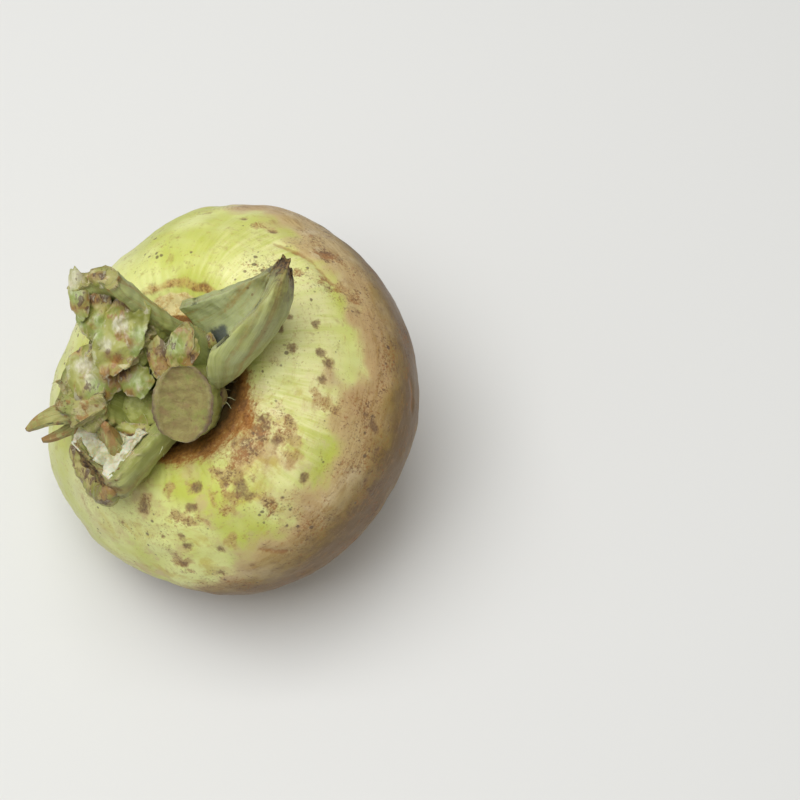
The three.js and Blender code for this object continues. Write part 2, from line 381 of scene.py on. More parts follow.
WRINKLE_SPACING = 2.6
TAP_RING_SPACING = 3.1
GROOVES_ROUND = 64
WAVES_ROUND = 11
wrinkles = np.sin((distance + 1.6 * medium) * 2 * math.pi / WRINKLE_SPACING)
grooves = np.cos(GROOVES_ROUND * azimuth + 5 * medium) * band(distance, 14, 34, 12)
waves = np.cos(WAVES_ROUND * azimuth + 3 * slow) * band(distance, 26, 62, 24)
tap_rings = np.sin((distance + 1.2 * medium) * 2 * math.pi / TAP_RING_SPACING)
tap_rings *= np.clip((distance - 118) / 14, 0, 1)
relief = 0.16 * neck * wrinkles + 0.3 * neck * fine + 0.07 * grooves
relief += 0.3 * waves + 0.45 * slow + 0.2 * medium + 0.05 * fine
relief += 0.3 * tap_rings - 0.28 * dark - 0.06 * russet - 0.3 * scar
# No relief where the root rests, nor at the pole
relief *= np.clip(above_floor / 2.5, 0, 1)
relief *= np.clip(distance / 6, 0, 1)
surface = root_surface(relief.reshape(RINGS - 1, COLUMNS))
print("relief from", round(relief.min(), 2), "to", round(relief.max(), 2), "mm")

# %% [markdown]
# ### From grid to mesh
#
# The turnip leans over until it rests on its flank. Leaning the points, rather than the object, keeps the
# object's own frame at the origin. The place on the floor is read from the solid model's box. Beside its
# points, the mesh carries plain numbers at each vertex, and the material reads them: where there is cork,
# where it is tan, and how far round and down the skin it is, so that streaks can follow the way the root
# grew.


# %% Lean, place and build the root
def leant(points):
    """Points of the turnip's own frame, where its axis is upright, as it lies."""
    return points.reshape(-1, 3) @ lean.T


low, high = (np.array(corner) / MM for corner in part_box("swollen_root"))
bare_leant = leant(bare)
offset = (low + high - bare_leant.min(0) - bare_leant.max(0)) / 2
offset[2] = -bare_leant[:, 2].min()
print("middle of the globe at", offset.round(2), "mm")
aim_camera(Vector(offset) * MM)


# %% Pieces and faces
def make_piece(name, points, faces, numbers, vectors=None):
    """A smooth mesh object from points in the turnip's own frame, with numbers and vectors at them."""
    mesh = bpy.data.meshes.new(name)
    mesh.from_pydata(((leant(points) + offset) * MM).tolist(), [], faces)
    for label, values in numbers.items():
        attribute = mesh.attributes.new(label, "FLOAT", "POINT")
        attribute.data.foreach_set("value", np.asarray(values, np.float32))
    for label, values in (vectors or {}).items():
        attribute = mesh.attributes.new(label, "FLOAT_VECTOR", "POINT")
        attribute.data.foreach_set("vector", np.asarray(values, np.float32).ravel())
    mesh.polygons.foreach_set("use_smooth", [True] * len(mesh.polygons))
    mesh.validate()
    piece = bpy.data.objects.new(name, mesh)
    scene.collection.objects.link(piece)
    print(name, len(mesh.polygons), "faces")
    return piece


def tube_faces(rows, round_count):
    """Faces between closed rows of points. They face out when a row turns left, seen from the last row."""
    return [
        (r * round_count + i, r * round_count + (i + 1) % round_count,
         (r + 1) * round_count + (i + 1) % round_count, (r + 1) * round_count + i)
        for r in range(rows - 1)
        for i in range(round_count)
    ]


def closed_faces(rows, columns):
    """Faces of a tube of rows by columns with a pole at each end; the poles are the last two vertices."""
    count = rows * columns
    faces = tube_faces(rows, columns)
    for i in range(columns):
        j = (i + 1) % columns
        faces.append((count, j, i))
        faces.append((count + 1, count - columns + i, count - columns + j))
    return faces


# %% Build the root
rings_upwards = surface[::-1]
poles = [[0, 0, OUTLINE[-1][1]], [0, 0, OUTLINE[0][1]]]
root_points = np.concatenate([rings_upwards.reshape(-1, 3), poles])


def upwards(values):
    """Grid values in the order of the mesh, with the two poles added."""
    grid = np.asarray(values).reshape(RINGS - 1, COLUMNS)[::-1]
    return np.concatenate([grid.ravel(), [grid[0].mean()], [grid[-1].mean()]])


grown = np.stack([GLOBE_RADIUS * np.cos(azimuth), GLOBE_RADIUS * np.sin(azimuth), distance], axis=-1) * MM
root_skin = make_piece(
    "root_skin",
    root_points,
    closed_faces(RINGS - 1, COLUMNS),
    {
        "neck": upwards(neck), "line": upwards(collar_line), "hairy": upwards(tap), "cream": upwards(cream),
        "tan": upwards(tan_side), "under": upwards(edge_brown_and_shade), "rust": upwards(rust),
        "pale": upwards(pale_side), "blush": upwards(blush), "cream_and_highlight": upwards(cream_and_highlight),
        "dark": upwards(dark), "russet": upwards(russet), "scar": upwards(scar),
    },
    {"grown": np.stack([upwards(grown[:, k]) for k in range(3)], axis=-1)},
)

# %% [markdown]
# ### The skin's material
#
# The skin is a waxy plant skin over watery white flesh: a little light enters it and comes back yellower,
# and it has a soft, broad shine (roughness about 0.42, IOR 1.42). Its colour is built in layers, mostly in
# the order it formed: green that varies slowly, with cream streaks and a painted highlight right of the
# crown, tan where it lay on soil, ochre and brown towards the lower and right edges that is partly painted
# shade, then specks, russet, cork darkened by painted shade beside the stalks, and dark spots on top. Each
# layer is one Mix node whose factor is a number from the mesh, broken up by noise. A noise size is 1 over
# its scale in metres.


# %% Small helpers for layered materials
def new_material(name):
    """A material, its node tree and its shader."""
    material = bpy.data.materials.new(name)
    material.use_nodes = True
    return material, material.node_tree, material.node_tree.nodes["Principled BSDF"]


def noise_value(tree, place, size_mm, detail=4, roughness=0.55, distort=0.0):
    """A noise from 0 to 1 with lumps of a size in millimetres."""
    settings = {
        "Scale": 1 / (size_mm * MM), "Detail": detail, "Roughness": roughness, "Distortion": distort
    }
    return add_node(tree, "ShaderNodeTexNoise", {"Vector": place}, settings).outputs["Fac"]


def ramp(tree, value, low, high, out_low=0.0, out_high=1.0):
    """Maps low..high to out_low..out_high smoothly and holds it outside."""
    made = add_node(
        tree, "ShaderNodeMapRange", {"Value": value},
        {"From Min": low, "From Max": high, "To Min": out_low, "To Max": out_high},
        interpolation_type="SMOOTHSTEP",
    )
    return made.outputs["Result"]


def scaled(tree, first, *others, number=1.0):
    """The product of some sockets and a number."""
    for other in others:
        first = add_node(
            tree, "ShaderNodeMath", {0: first, 1: other}, operation="MULTIPLY"
        ).outputs["Value"]
    if number == 1.0:
        return first
    return add_node(tree, "ShaderNodeMath", {0: first}, {1: number}, operation="MULTIPLY").outputs["Value"]


def total(tree, first, *others):
    """The sum of some sockets."""
    for other in others:
        first = add_node(tree, "ShaderNodeMath", {0: first, 1: other}, operation="ADD").outputs["Value"]
    return first


def layer(tree, below, above, factor):
    """Colour above laid over colour below. Each is a socket or an sRGB hex; factor is a socket."""
    made = add_node(tree, "ShaderNodeMix", {"Factor": factor}, data_type="RGBA")
    for socket, colour in ((made.inputs[6], below), (made.inputs[7], above)):
        if isinstance(colour, str):
            socket.default_value = linear(colour)
        else:
            tree.links.new(colour, socket)
    return made.outputs[2]


def number_at(tree, label):
    """A number that the mesh carries at each vertex."""
    return add_node(tree, "ShaderNodeAttribute", attribute_name=label).outputs["Fac"]


def broken(tree, label, noise_socket, low=0.35, high=0.65, amount=0.5):
    """A number of the mesh whose soft edge is broken up by noise."""
    wobble = scaled(tree, noise_socket, number=2 * amount)
    return ramp(tree, total(tree, number_at(tree, label), wobble), low + amount, high + amount)


# %% Waxy turnip skin: tight, smooth and slightly translucent, so it glows where light grazes it
skin_material, tree, shader = new_material("waxy_turnip_skin")
spot = add_node(tree, "ShaderNodeTexCoord").outputs["Object"]
grown_at = add_node(tree, "ShaderNodeAttribute", attribute_name="grown").outputs["Vector"]
downwise = add_node(
    tree, "ShaderNodeMapping", {"Vector": grown_at}, {"Scale": (1.5, 1.5, 0.2)}
).outputs["Vector"]
ringwise = add_node(
    tree, "ShaderNodeMapping", {"Vector": grown_at}, {"Scale": (0.3, 0.3, 1.5)}
).outputs["Vector"]

clouds = noise_value(tree, spot, 26, 3)
patches = noise_value(tree, spot, 9, 5, 0.6)
mottle = noise_value(tree, spot, 3.2, 5, 0.65, 0.4)
grain = noise_value(tree, spot, 0.9, 4, 0.7)
streaks = noise_value(tree, downwise, 2.4, 4, 0.6)
dashes = noise_value(tree, ringwise, 1.5, 5, 0.7)
# Real cork specks are 0.1 to 0.3 mm wide, too fine for the picture, so they are drawn 0.55 mm wide
fine_grain = noise_value(tree, spot, 0.55, 3, 0.65)
print("nodes so far:", len(tree.nodes))

# %% Green to cream, with pale streaks that run down from the neck and a painted highlight right of the crown
colour = layer(tree, "bfc554", "dde091", ramp(tree, clouds, 0.4, 0.6))
colour = layer(tree, colour, "c8ce72", ramp(tree, patches, 0.45, 0.7, 0, 0.8))
colour = layer(tree, colour, "a8a549", ramp(tree, mottle, 0.54, 0.78, 0, 0.5))
# Cream streaks, and a painted highlight: the whole zone right of the crown is lightened by at least a
# quarter of this cream
bright_share = ramp(tree, total(tree, streaks, scaled(tree, patches, number=0.7)), 0.65, 1.0, 0.25, 1.0)
colour = layer(tree, colour, "e9e6a4", scaled(tree, number_at(tree, "cream_and_highlight"), bright_share))
pale_share = scaled(tree, number_at(tree, "pale"), ramp(tree, patches, 0.3, 0.7, 0.1, 0.7))
colour = layer(tree, colour, "cfcf9e", pale_share)
blush_share = scaled(tree, number_at(tree, "blush"), ramp(tree, patches, 0.5, 0.66, 0, 0.6))
colour = layer(tree, colour, "c7a880", blush_share)
gold = noise_value(tree, spot, 10, 5, 0.65, 0.5)
gold_share = scaled(tree, ramp(tree, gold, 0.52, 0.68, 0, 0.65), number_at(tree, "blush"))
colour = layer(tree, colour, "bda83e", gold_share)
print("nodes so far:", len(tree.nodes))

# %% Tan where it lay on the soil, with faint rings round the root, and ochre and brown towards the lower and right edges that are partly painted shade
colour = layer(tree, colour, "c9b27c", broken(tree, "tan", patches, 0.05, 0.7, 0.3))
tan_warm = scaled(
    tree, broken(tree, "tan", patches, 0.3, 0.9, 0.4), ramp(tree, clouds, 0.36, 0.56, 0.15, 0.9)
)
colour = layer(tree, colour, "bc9d6e", tan_warm)
tan_rings = scaled(
    tree, broken(tree, "tan", mottle, 0.4, 1.0, 0.5), ramp(tree, dashes, 0.42, 0.66, 0, 0.75)
)
colour = layer(tree, colour, "9c7c45", tan_rings)
pale_tan = scaled(tree, number_at(tree, "tan"), ramp(tree, gold, 0.5, 0.66, 0, 0.6))
colour = layer(tree, colour, "dac9a0", pale_tan)
# Ochre and dark brown over the lower and right edges: the skin's own brown darkened with painted shade
colour = layer(tree, colour, "957b36", broken(tree, "under", patches, 0.05, 0.8, 0.3))
colour = layer(
    tree, colour, "694b24", scaled(tree, broken(tree, "under", mottle, 0.35, 1.0, 0.5), number=0.85)
)
print("nodes so far:", len(tree.nodes))

# %% Stipple: specks of cork over soft stains, thickest in the russet marks and by the neck
zone = noise_value(tree, spot, 12, 5, 0.65)
stain_place = total(tree, number_at(tree, "russet"), scaled(tree, number_at(tree, "rust"), number=0.75))
stain_noise = total(tree, mottle, scaled(tree, patches, number=0.6))
stain = ramp(tree, total(tree, stain_noise, scaled(tree, stain_place, number=0.4)), 0.88, 1.22)
stain_colour = layer(tree, "c2a26c", "a67f4a", ramp(tree, dashes, 0.4, 0.6))
colour = layer(tree, colour, stain_colour, scaled(tree, stain, number=0.7))
stipple_level = total(tree, scaled(tree, fine_grain, number=0.7), scaled(tree, grain, number=0.35))
stipple_level = total(tree, stipple_level, scaled(tree, zone, number=0.5))
stipple_level = total(tree, stipple_level, scaled(tree, stain_place, number=0.13))
stipple_level = total(tree, stipple_level, scaled(tree, number_at(tree, "tan"), number=0.085))
stipple = ramp(tree, stipple_level, 0.85, 1.04)
stipple_colour = layer(tree, "955f30", "5c3c2c", ramp(tree, mottle, 0.42, 0.58))
colour = layer(tree, colour, stipple_colour, scaled(tree, stipple, number=0.8))
dots = add_node(
    tree, "ShaderNodeTexVoronoi", {"Vector": spot}, {"Scale": 1 / (2.9 * MM)}
).outputs["Distance"]
dot_size = ramp(tree, zone, 0.4, 0.64, 0.0, 0.22)
dot_level = total(tree, dot_size, scaled(tree, dots, number=-1.0), scaled(tree, grain, number=0.12))
specks = ramp(tree, dot_level, 0.04, 0.14)
colour = layer(tree, colour, "5d4a38", scaled(tree, specks, number=0.75))
print("nodes so far:", len(tree.nodes))

# %% Dark bruised spots, with a lighter brown edge, and the healed scars
colour = layer(
    tree, colour, "94744a", scaled(tree, broken(tree, "dark", fine_grain, 0.2, 0.9, 0.6), number=0.7)
)
colour = layer(
    tree, colour, "5a4338", scaled(tree, broken(tree, "dark", fine_grain, 0.65, 1.3, 0.5), number=0.85)
)
colour = layer(
    tree, colour, "9c6d3c", scaled(tree, broken(tree, "scar", mottle, 0.4, 1.2, 0.9), number=0.75)
)
print("nodes so far:", len(tree.nodes))

# %% The neck: cork, deepest brown beside the stalks where painted shade under them darkens it, orange-brown rings outside, and a soft edge to the lighter skin
neck_value = number_at(tree, "neck")
cork = total(tree, scaled(tree, dashes, number=0.8), scaled(tree, fine_grain, number=0.4))
neck_cover = ramp(tree, total(tree, neck_value, scaled(tree, cork, number=0.7)), 0.42, 0.72)
neck_tone = total(tree, neck_value, scaled(tree, cork, number=1.1), scaled(tree, patches, number=0.3))
neck_cork_and_shade = layer(tree, "c6a164", "a26c30", ramp(tree, neck_tone, 0.88, 1.12))
neck_cork_and_shade = layer(tree, neck_cork_and_shade, "77481c", ramp(tree, neck_tone, 1.1, 1.33))
# Deepest brown next to the stalks: the cork's own brown with painted shade under the stalks
neck_cork_and_shade = layer(tree, neck_cork_and_shade, "452c14", ramp(tree, neck_tone, 1.3, 1.75))
colour = layer(tree, colour, neck_cork_and_shade, scaled(tree, neck_cover, number=0.95))
cream_noise = total(tree, mottle, scaled(tree, dashes, number=0.6))
cream_colour = layer(tree, "dfd196", "c2a25f", ramp(tree, cream_noise, 0.78, 0.98))
colour = layer(tree, colour, cream_colour, broken(tree, "cream", mottle, 0.3, 0.75, 0.5))
line_noise = total(tree, mottle, scaled(tree, fine_grain, number=0.6))
line_colour = layer(tree, "bd9355", "87602f", ramp(tree, line_noise, 0.7, 0.9))
colour = layer(tree, colour, line_colour, broken(tree, "line", mottle, 0.1, 1.3, 1.1))
tree.links.new(colour, shader.inputs["Base Color"])
print("nodes so far:", len(tree.nodes))

# %% Shine, light under the skin and relief
rough = total(tree, ramp(tree, patches, 0.35, 0.7, 0.38, 0.48), scaled(tree, neck_cover, number=0.2))
rough = total(
    tree, rough, scaled(tree, number_at(tree, "dark"), number=0.15), scaled(tree, stipple, number=0.15)
)
tree.links.new(rough, shader.inputs["Roughness"])
shader.inputs["IOR"].default_value = 1.42
shader.inputs["Subsurface Weight"].default_value = 0.12
shader.inputs["Subsurface Radius"].default_value = (1.0, 0.8, 0.3)
shader.inputs["Subsurface Scale"].default_value = 1.5 * MM

height = total(tree, scaled(tree, mottle, number=0.3), scaled(tree, streaks, number=0.3))
height = total(tree, height, scaled(tree, specks, number=-0.4), scaled(tree, stipple, number=0.12))
height = total(tree, height, scaled(tree, neck_cover, dashes, number=1.2))
bump = add_node(tree, "ShaderNodeBump", {"Height": height}, {"Strength": 0.5, "Distance": 0.35 * MM})
tree.links.new(bump.outputs["Normal"], shader.inputs["Normal"])

# %% Dress the root
root_skin.data.materials.append(skin_material)
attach(root_skin, "root")
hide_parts("swollen_root")
print(skin_material.name, "has", len(tree.nodes), "nodes")

# %% [markdown]
# ## The stalks
#
# A turnip's leaf stalk is a thick strip folded into a channel, with ribs along its back. After cutting, its
# margins dry out, curl and turn brown, and its torn end turns to cork. Each stalk is lofted: a
# cross-section is drawn at many places along a bent centre line, and the sections are joined. The values
# are the solid model's. What is added are ribs, lumps, margins that are not straight and an end that was
# torn rather than sliced.

# %% Sizes of the stalks
# Lengths in mm, angles in degrees. Three values are for the foot, the middle and the end of a stalk. The
# values from azimuth to cut are the solid's. The rest is the surface: how ragged and rough the end is, the
# ribs, and how far the end has dried, greyed, closed and darkened.
STALKS = {
    "stalk_tall": dict(
        azimuth=96, reach=9, foot=27, heading=90, swing=8, rise=(88, 72), length=34, width=(34, 27, 20),
        thick=(6, 5, 4), edge=(1.8, 1.6, 1.6), fold=(88, 88, 84), roll=(0, 0, 0), cut=(6, 0),
        ragged=1.0, rough=0.5, ribs=13, dryness=0.1, greyness=0.8, closed=0.1, tip=0.1,
        kept_left=(0.55, 0.88, 1), kept_right=(1, 1, 0.6),
    ),
    "stalk_pointed": dict(
        azimuth=0, reach=10.2, foot=27, heading=-16, swing=72, rise=(40, 6), length=40,
        width=(36, 31, 15), thick=(4.6, 4.4, 2.4), edge=(2, 1.8, 1.4), fold=(84, 94, 74),
        roll=(0, -30, -40), cut=(0, 0), ragged=3.0, rough=0.3, ribs=17, dryness=0.05, greyness=0.8,
        closed=0.75, tip=1.0, kept_left=(0.05, 1, 1), taper=0.5, shaded=0.15, pale_inside=1.9,
    ),
    "stalk_hooded": dict(
        azimuth=-100, reach=9, foot=28, heading=-122, swing=-14, rise=(28, 2), length=25.5,
        width=(25, 28, 24), thick=(6.5, 8, 8), edge=(2, 2.2, 3), fold=(60, 84, 84), roll=(10, 10, 10),
        cut=(-34, 0), ragged=0.6, rough=0.7, ribs=11, dryness=0.6, greyness=0.4, closed=1.0, tip=0.75,
        taper=0.5,
    ),
    "stalk_round": dict(
        azimuth=-46, reach=8.6, foot=26, heading=-48, swing=0, rise=(66, 58), length=21,
        width=(17, 16, 16.4), thick=(15, 14.2, 14.2), edge=(2.4, 2.4, 2.4), fold=(16, 12, 8),
        roll=(40, 40, 40), cut=(-4, 0), ragged=0.4, rough=0.22, ribs=9, dryness=0.1, greyness=0.2,
        closed=0.0, tip=0.15,
    ),
    "stalk_short": dict(
        azimuth=8, reach=9.4, foot=27, heading=-20, swing=0, rise=(82, 78), length=18,
        width=(11, 10.5, 10.5), thick=(7, 7, 7), edge=(2.4, 2.4, 2.4), fold=(40, 40, 40),
        roll=(0, 0, 0), cut=(-20, 10), ragged=0.9, rough=0.3, ribs=4, dryness=0.0, greyness=1.0,
        closed=0.0, tip=0.1,
    ),
    "stalk_torn": dict(
        azimuth=-125, reach=8, foot=27, heading=152, swing=0, rise=(78, 66), length=23,
        width=(22, 24, 24), thick=(6, 7, 8), edge=(3, 4, 5), fold=(60, 60, 62), roll=(0, 0, 0),
        cut=(-30, 10), ragged=2.4, rough=1.1, ribs=9, dryness=0.6, greyness=0.3, closed=0.25, tip=0.3,
    ),
    "stalk_heart": dict(
        azimuth=60, reach=4, foot=27, heading=155, swing=0, rise=(90, 88), length=24.5,
        width=(13, 14, 14), thick=(9, 9.5, 10), edge=(4, 4, 4), fold=(16, 16, 16), roll=(0, 0, 0),
        cut=(-33, 8), ragged=2.6, rough=1.1, ribs=7, dryness=0.6, greyness=0.3, closed=0.0, tip=0.1,
    ),
    "scale_leaf": dict(
        azimuth=-114, reach=22, foot=34.5, heading=66, swing=0, rise=(74, 60), length=12.5,
        width=(8, 9.5, 1.5), thick=(5, 4.4, 1.4), edge=(1.6, 1.6, 1), fold=(50, 40, 20),
        roll=(-30, -30, -30), cut=(0, 0), ragged=0.5, rough=0.3, ribs=5, dryness=0.8, greyness=0.0,
        closed=0.0, tip=0.8,
    ),
    "sliver_long": dict(
        azimuth=-140, reach=18, foot=43.5, heading=168, swing=34, rise=(16, -14), length=16.5,
        width=(5, 4.6, 1), thick=(2, 1.8, 0.8), edge=(1, 1, 0.7), fold=(40, 34, 20), roll=(0, 0, 0),
        cut=(0, 0), ragged=0.5, rough=0.2, ribs=3, dryness=0.4, greyness=0.2, closed=0.0, tip=0.2,
    ),
    "sliver_short": dict(
        azimuth=-146, reach=20, foot=40, heading=-150, swing=-20, rise=(-10, 16), length=12,
        width=(3, 2.6, 1), thick=(1.6, 1.4, 0.8), edge=(0.9, 0.8, 0.7), fold=(30, 30, 20),
        roll=(0, 0, 0), cut=(0, 0), ragged=0.4, rough=0.15, ribs=3, dryness=0.8, greyness=0.0,
        closed=0.0, tip=0.8,
    ),
}
ACROSS = 40
CAP_ROWS = 8
longest = max(stalk["length"] for stalk in STALKS.values())
print(len(STALKS), "stalks and dried leaves, the longest", longest, "mm")

# %% [markdown]
# ### Lofting a stalk
#
# A stalk could be a curve with a bevel, but its section changes along the way: it opens, folds, thins and
# tears. So every row of points is computed. A row runs along the back of the stalk from margin to margin
# and returns along the channel, which gives both faces and closed margins in one go. Each value of a stalk
# is a smooth parabola through its foot, middle and end.


# %% Bending and following the centre line
def bend(values, t):
    """Value at t of the parabola through a foot, a middle and an end value."""
    foot, middle, end = values
    return foot * (1 - t) * (1 - 2 * t) + middle * 4 * t * (1 - t) + end * t * (2 * t - 1)


def turned(vectors, axes, angles):
    """Each vector turned about its own axis, which is a unit vector across it."""
    return vectors * np.cos(angles)[:, None] + np.cross(axes, vectors) * np.sin(angles)[:, None]


def centre_line(stalk, t):
    """Middle, side, face and length directions of the stalk at each t."""
    rise = np.radians(stalk["rise"][0] + (stalk["rise"][1] - stalk["rise"][0]) * t)
    heading = np.radians(stalk["heading"] + stalk["swing"] * t)
    outward = np.stack([np.cos(heading), np.sin(heading), 0 * t], axis=-1)
    upright = np.array([0.0, 0.0, 1.0])
    along = outward * np.cos(rise)[:, None] + upright * np.sin(rise)[:, None]
    flat = -outward * np.sin(rise)[:, None] + upright * np.cos(rise)[:, None]
    face = turned(flat, along, np.radians(bend(stalk["roll"], t)))
    side = np.cross(face, along)
    foot = math.radians(stalk["azimuth"])
    start = np.array([math.cos(foot) * stalk["reach"], math.sin(foot) * stalk["reach"], stalk["foot"]])
    steps = np.diff(t, prepend=0)[:, None] * along * stalk["length"]
    return start + np.cumsum(steps, axis=0), side, face, along


def normals_of(grid):
    """Outward directions of a grid of points whose columns close on themselves."""
    round_way = np.roll(grid, -1, axis=1) - np.roll(grid, 1, axis=1)
    long_way = np.gradient(grid, axis=0)
    across = np.cross(round_way, long_way)
    return across / np.maximum(np.linalg.norm(across, axis=-1, keepdims=True), 1e-9)


# %% The skin of one stalk, row by row
ROWS_PER_MM = 2.2
FEWEST_ROWS = 24


def stalk_section(stalk, t):
    """Margin, arc and place of each point of a section: along the back, then back along the channel."""
    step = np.concatenate([np.arange(ACROSS), np.arange(ACROSS)[::-1]]) / (ACROSS - 1)
    margin = np.sin((step * 2 - 1) * math.pi / 2)
    outer = np.arange(2 * ACROSS) < ACROSS
    share = np.sqrt(np.maximum(0, 1 - margin**2))
    turn = np.radians(bend(stalk["fold"], t))[:, None]
    radius = bend(stalk["width"], t)[:, None] / (2 * turn)
    half = (bend(stalk["edge"], t)[:, None] * (1 - share) + bend(stalk["thick"], t)[:, None] * share) / 2
    kept_left = np.interp(t, (0, 0.5, 1), stalk.get("kept_left", (1, 1, 1)))[:, None]
    kept_right = np.interp(t, (0, 0.5, 1), stalk.get("kept_right", (1, 1, 1)))[:, None]
    angle = margin * turn * np.where(margin < 0, kept_left, kept_right)
    filled = 1 - stalk["closed"] * np.clip((t[:, None] - 0.72) / 0.2, 0, 1) ** 2
    reach = np.where(outer, radius + half, (radius - np.minimum(half, 0.9 * radius)) * filled)
    reach = reach * (1 - stalk.get("taper", 0) * np.clip((t[:, None] - 0.78) / 0.22, 0, 1) ** 2)
    return margin, outer, margin * radius * turn, reach * np.sin(angle), radius - reach * np.cos(angle)


def stalk_grid(stalk, seed):
    """The skin's points, how far along and across they are, and the direction of the end."""
    t = np.linspace(0, 1, max(FEWEST_ROWS, round(stalk["length"] * ROWS_PER_MM)))
    middle, side, face, along = centre_line(stalk, t)
    margin, outer, arc, across, out = stalk_section(stalk, t)
    slant = np.tan(math.radians(stalk["cut"][0])) * out + np.tan(math.radians(stalk["cut"][1])) * across
    grid = middle[:, None] + side[:, None] * across[..., None] + face[:, None] * out[..., None]
    grid = grid + along[:, None] * (slant * t[:, None] ** 4)[..., None]

    # Torn ends: the last part is stretched or held back along the stalk, the same for both faces
    tear = lumps(np.stack([arc[-1], 0 * margin, 0 * margin], axis=-1), 3.2, 4, seed)
    grid = grid + along[:, None] * (stalk["ragged"] * tear * t[:, None] ** 8)[..., None]

    # Ribs on the back, fine veins in the channel, lumps everywhere and rougher ones towards the end
    points = grid.reshape(-1, 3)
    rib = np.cos(margin * math.pi * stalk["ribs"])
    lift = np.where(outer, 0.13, 0.07) * rib * (1 - margin**4) * np.ones_like(t)[:, None]
    lift = lift + 0.55 * lumps(points, 5.5, 3, seed).reshape(lift.shape)
    near_end = np.clip((t - 0.45) / 0.55, 0, 1)[:, None] ** 2
    edge_near = np.abs(margin)[None] ** 6
    fray = lumps(points, 1.5, 3, seed + 5).reshape(lift.shape)
    lift = lift + stalk["rough"] * fray * np.maximum(near_end, 0.5 * edge_near)
    lift = lift * np.minimum(1, bend(stalk["edge"], t)[:, None] / 2)
    return grid + normals_of(grid) * lift[..., None], t[:, None], margin, outer, arc, along[-1]


# %% The cut end and the faces
def stalk_cap(grid, end_direction, rough, seed):
    """Rows of points from the back to the channel across the cut end, lumpy and a little hollow."""
    columns = np.arange(1, ACROSS - 1)
    back, channel = grid[-1, columns], grid[-1, 2 * ACROSS - 1 - columns]
    weights = np.arange(1, CAP_ROWS) / CAP_ROWS
    cap = back[:, None] * (1 - weights)[:, None] + channel[:, None] * weights[:, None]
    depth = np.linalg.norm(back - channel, axis=1)[:, None] * np.sin(weights * math.pi)
    bumps = lumps(cap.reshape(-1, 3), 2.0, 4, seed + 9).reshape(cap.shape[:2])
    return cap + end_direction * (-0.16 * depth + rough * 0.9 * bumps)[..., None], depth


def stalk_faces(rows):
    """Faces of the skin, of the cut end and of the foot, which is hidden in the crown."""
    round_count = 2 * ACROSS
    faces = tube_faces(rows, round_count)
    last = (rows - 1) * round_count
    cap_start = rows * round_count

    def cap_column(i):
        """Vertices of the cut end at column i, from the back to the channel."""
        first = cap_start + (i - 1) * (CAP_ROWS - 1)
        inner = [] if i in (0, ACROSS - 1) else list(range(first, first + CAP_ROWS - 1))
        return [last + i, *inner, last + round_count - 1 - i]

    for i in range(ACROSS - 1):
        here, there = cap_column(i), cap_column(i + 1)
        if len(here) == len(there):
            faces.extend((here[k], there[k], there[k + 1], here[k + 1]) for k in range(len(here) - 1))
        else:
            faces.append((*here[:1], *there, *here[:0:-1]))
        faces.append((round_count - 1 - i, round_count - 2 - i, i + 1, i))
    return faces


# %% Numbers for the material, and one whole stalk
def stalk_numbers(name, stalk, t, margin, outer, depth):
    """What the material reads at each point: first the skin's value, then the cut end's."""
    plain = 1.0 if name.startswith("stalk_round") else 0.0
    pointed = name.startswith("stalk_pointed")
    inner_grey = stalk.get("pale_inside", stalk["greyness"])
    # The hollow near the foot of the pointed stalk's channel, which gets painted shade
    hollow = np.where(outer, 0, 1) * np.exp(-(((t - 0.22) / 0.12) ** 4) - ((margin - 0.15) / 0.42) ** 4)
    to_end = (1 - t) * stalk["length"] + 0 * margin
    to_margin = (1 - np.abs(margin)) * bend(stalk["width"], t) / 2
    end_dry = np.exp(-to_end / (0.8 + 5 * stalk["dryness"]))
    margin_dry = np.exp(-to_margin / (0.25 + 1.2 * stalk["dryness"])) * (0.3 + 0.5 * t)
    margin_dry = margin_dry * min(1, 0.3 + stalk["dryness"])
    all_over = 0 * to_end
    pairs = {
        "dry": (np.maximum(end_dry, margin_dry), 1.0),
        "channel": (np.where(outer, 0.0, stalk.get("shaded", 1.0)) + all_over, 0.5),
        "tip": (stalk["tip"] * np.exp(-to_end / 4.5), stalk["tip"]),
        "grey": (np.where(outer, stalk["greyness"], inner_grey) + all_over, inner_grey),
        "olive": (stalk["tip"] * np.exp(-to_end / 13), stalk["tip"]),
        "plain": (all_over, plain),
        "hollow": (hollow * pointed, 0.0),
        "rim": (np.where(t > 0.97, plain, all_over), plain * np.clip(1.2 - depth / 5, 0, 1)),
    }
    return {
        label: np.concatenate([skin.ravel(), (cut_end + 0 * depth).ravel()])
        for label, (skin, cut_end) in pairs.items()
    }


def loft_stalk(name, stalk, seed):
    """The skin of one stalk as a closed mesh, with a torn or cut end."""
    grid, t, margin, outer, arc, end_direction = stalk_grid(stalk, seed)
    cap, depth = stalk_cap(grid, end_direction, stalk["rough"], seed)
    lengthwise = t * stalk["length"] + 0 * margin
    grown_skin = np.stack([arc, np.where(outer, 0.0, 30.0) + 0 * arc, lengthwise], axis=-1)
    grown_all = np.concatenate([grown_skin.reshape(-1, 3), cap.reshape(-1, 3)]) * MM
    points = np.concatenate([grid.reshape(-1, 3), cap.reshape(-1, 3)])
    numbers = stalk_numbers(name, stalk, t, margin, outer, depth)
    return make_piece(name, points, stalk_faces(len(t)), numbers, {"grown": grown_all})


stalk_pieces = {}
for seed, (node, stalk) in enumerate(STALKS.items(), start=1):
    stalk_pieces[node] = loft_stalk(node + "_skin", stalk, 13.7 * seed)

# %% [markdown]
# ### The stalks' material
#
# Fresh stalk skin is a smooth, firm epidermis with fine parallel veins, so its pattern is stretched along
# the stalk by the "grown" vector. Where it dried, it is matt, brown to cream, and rough.

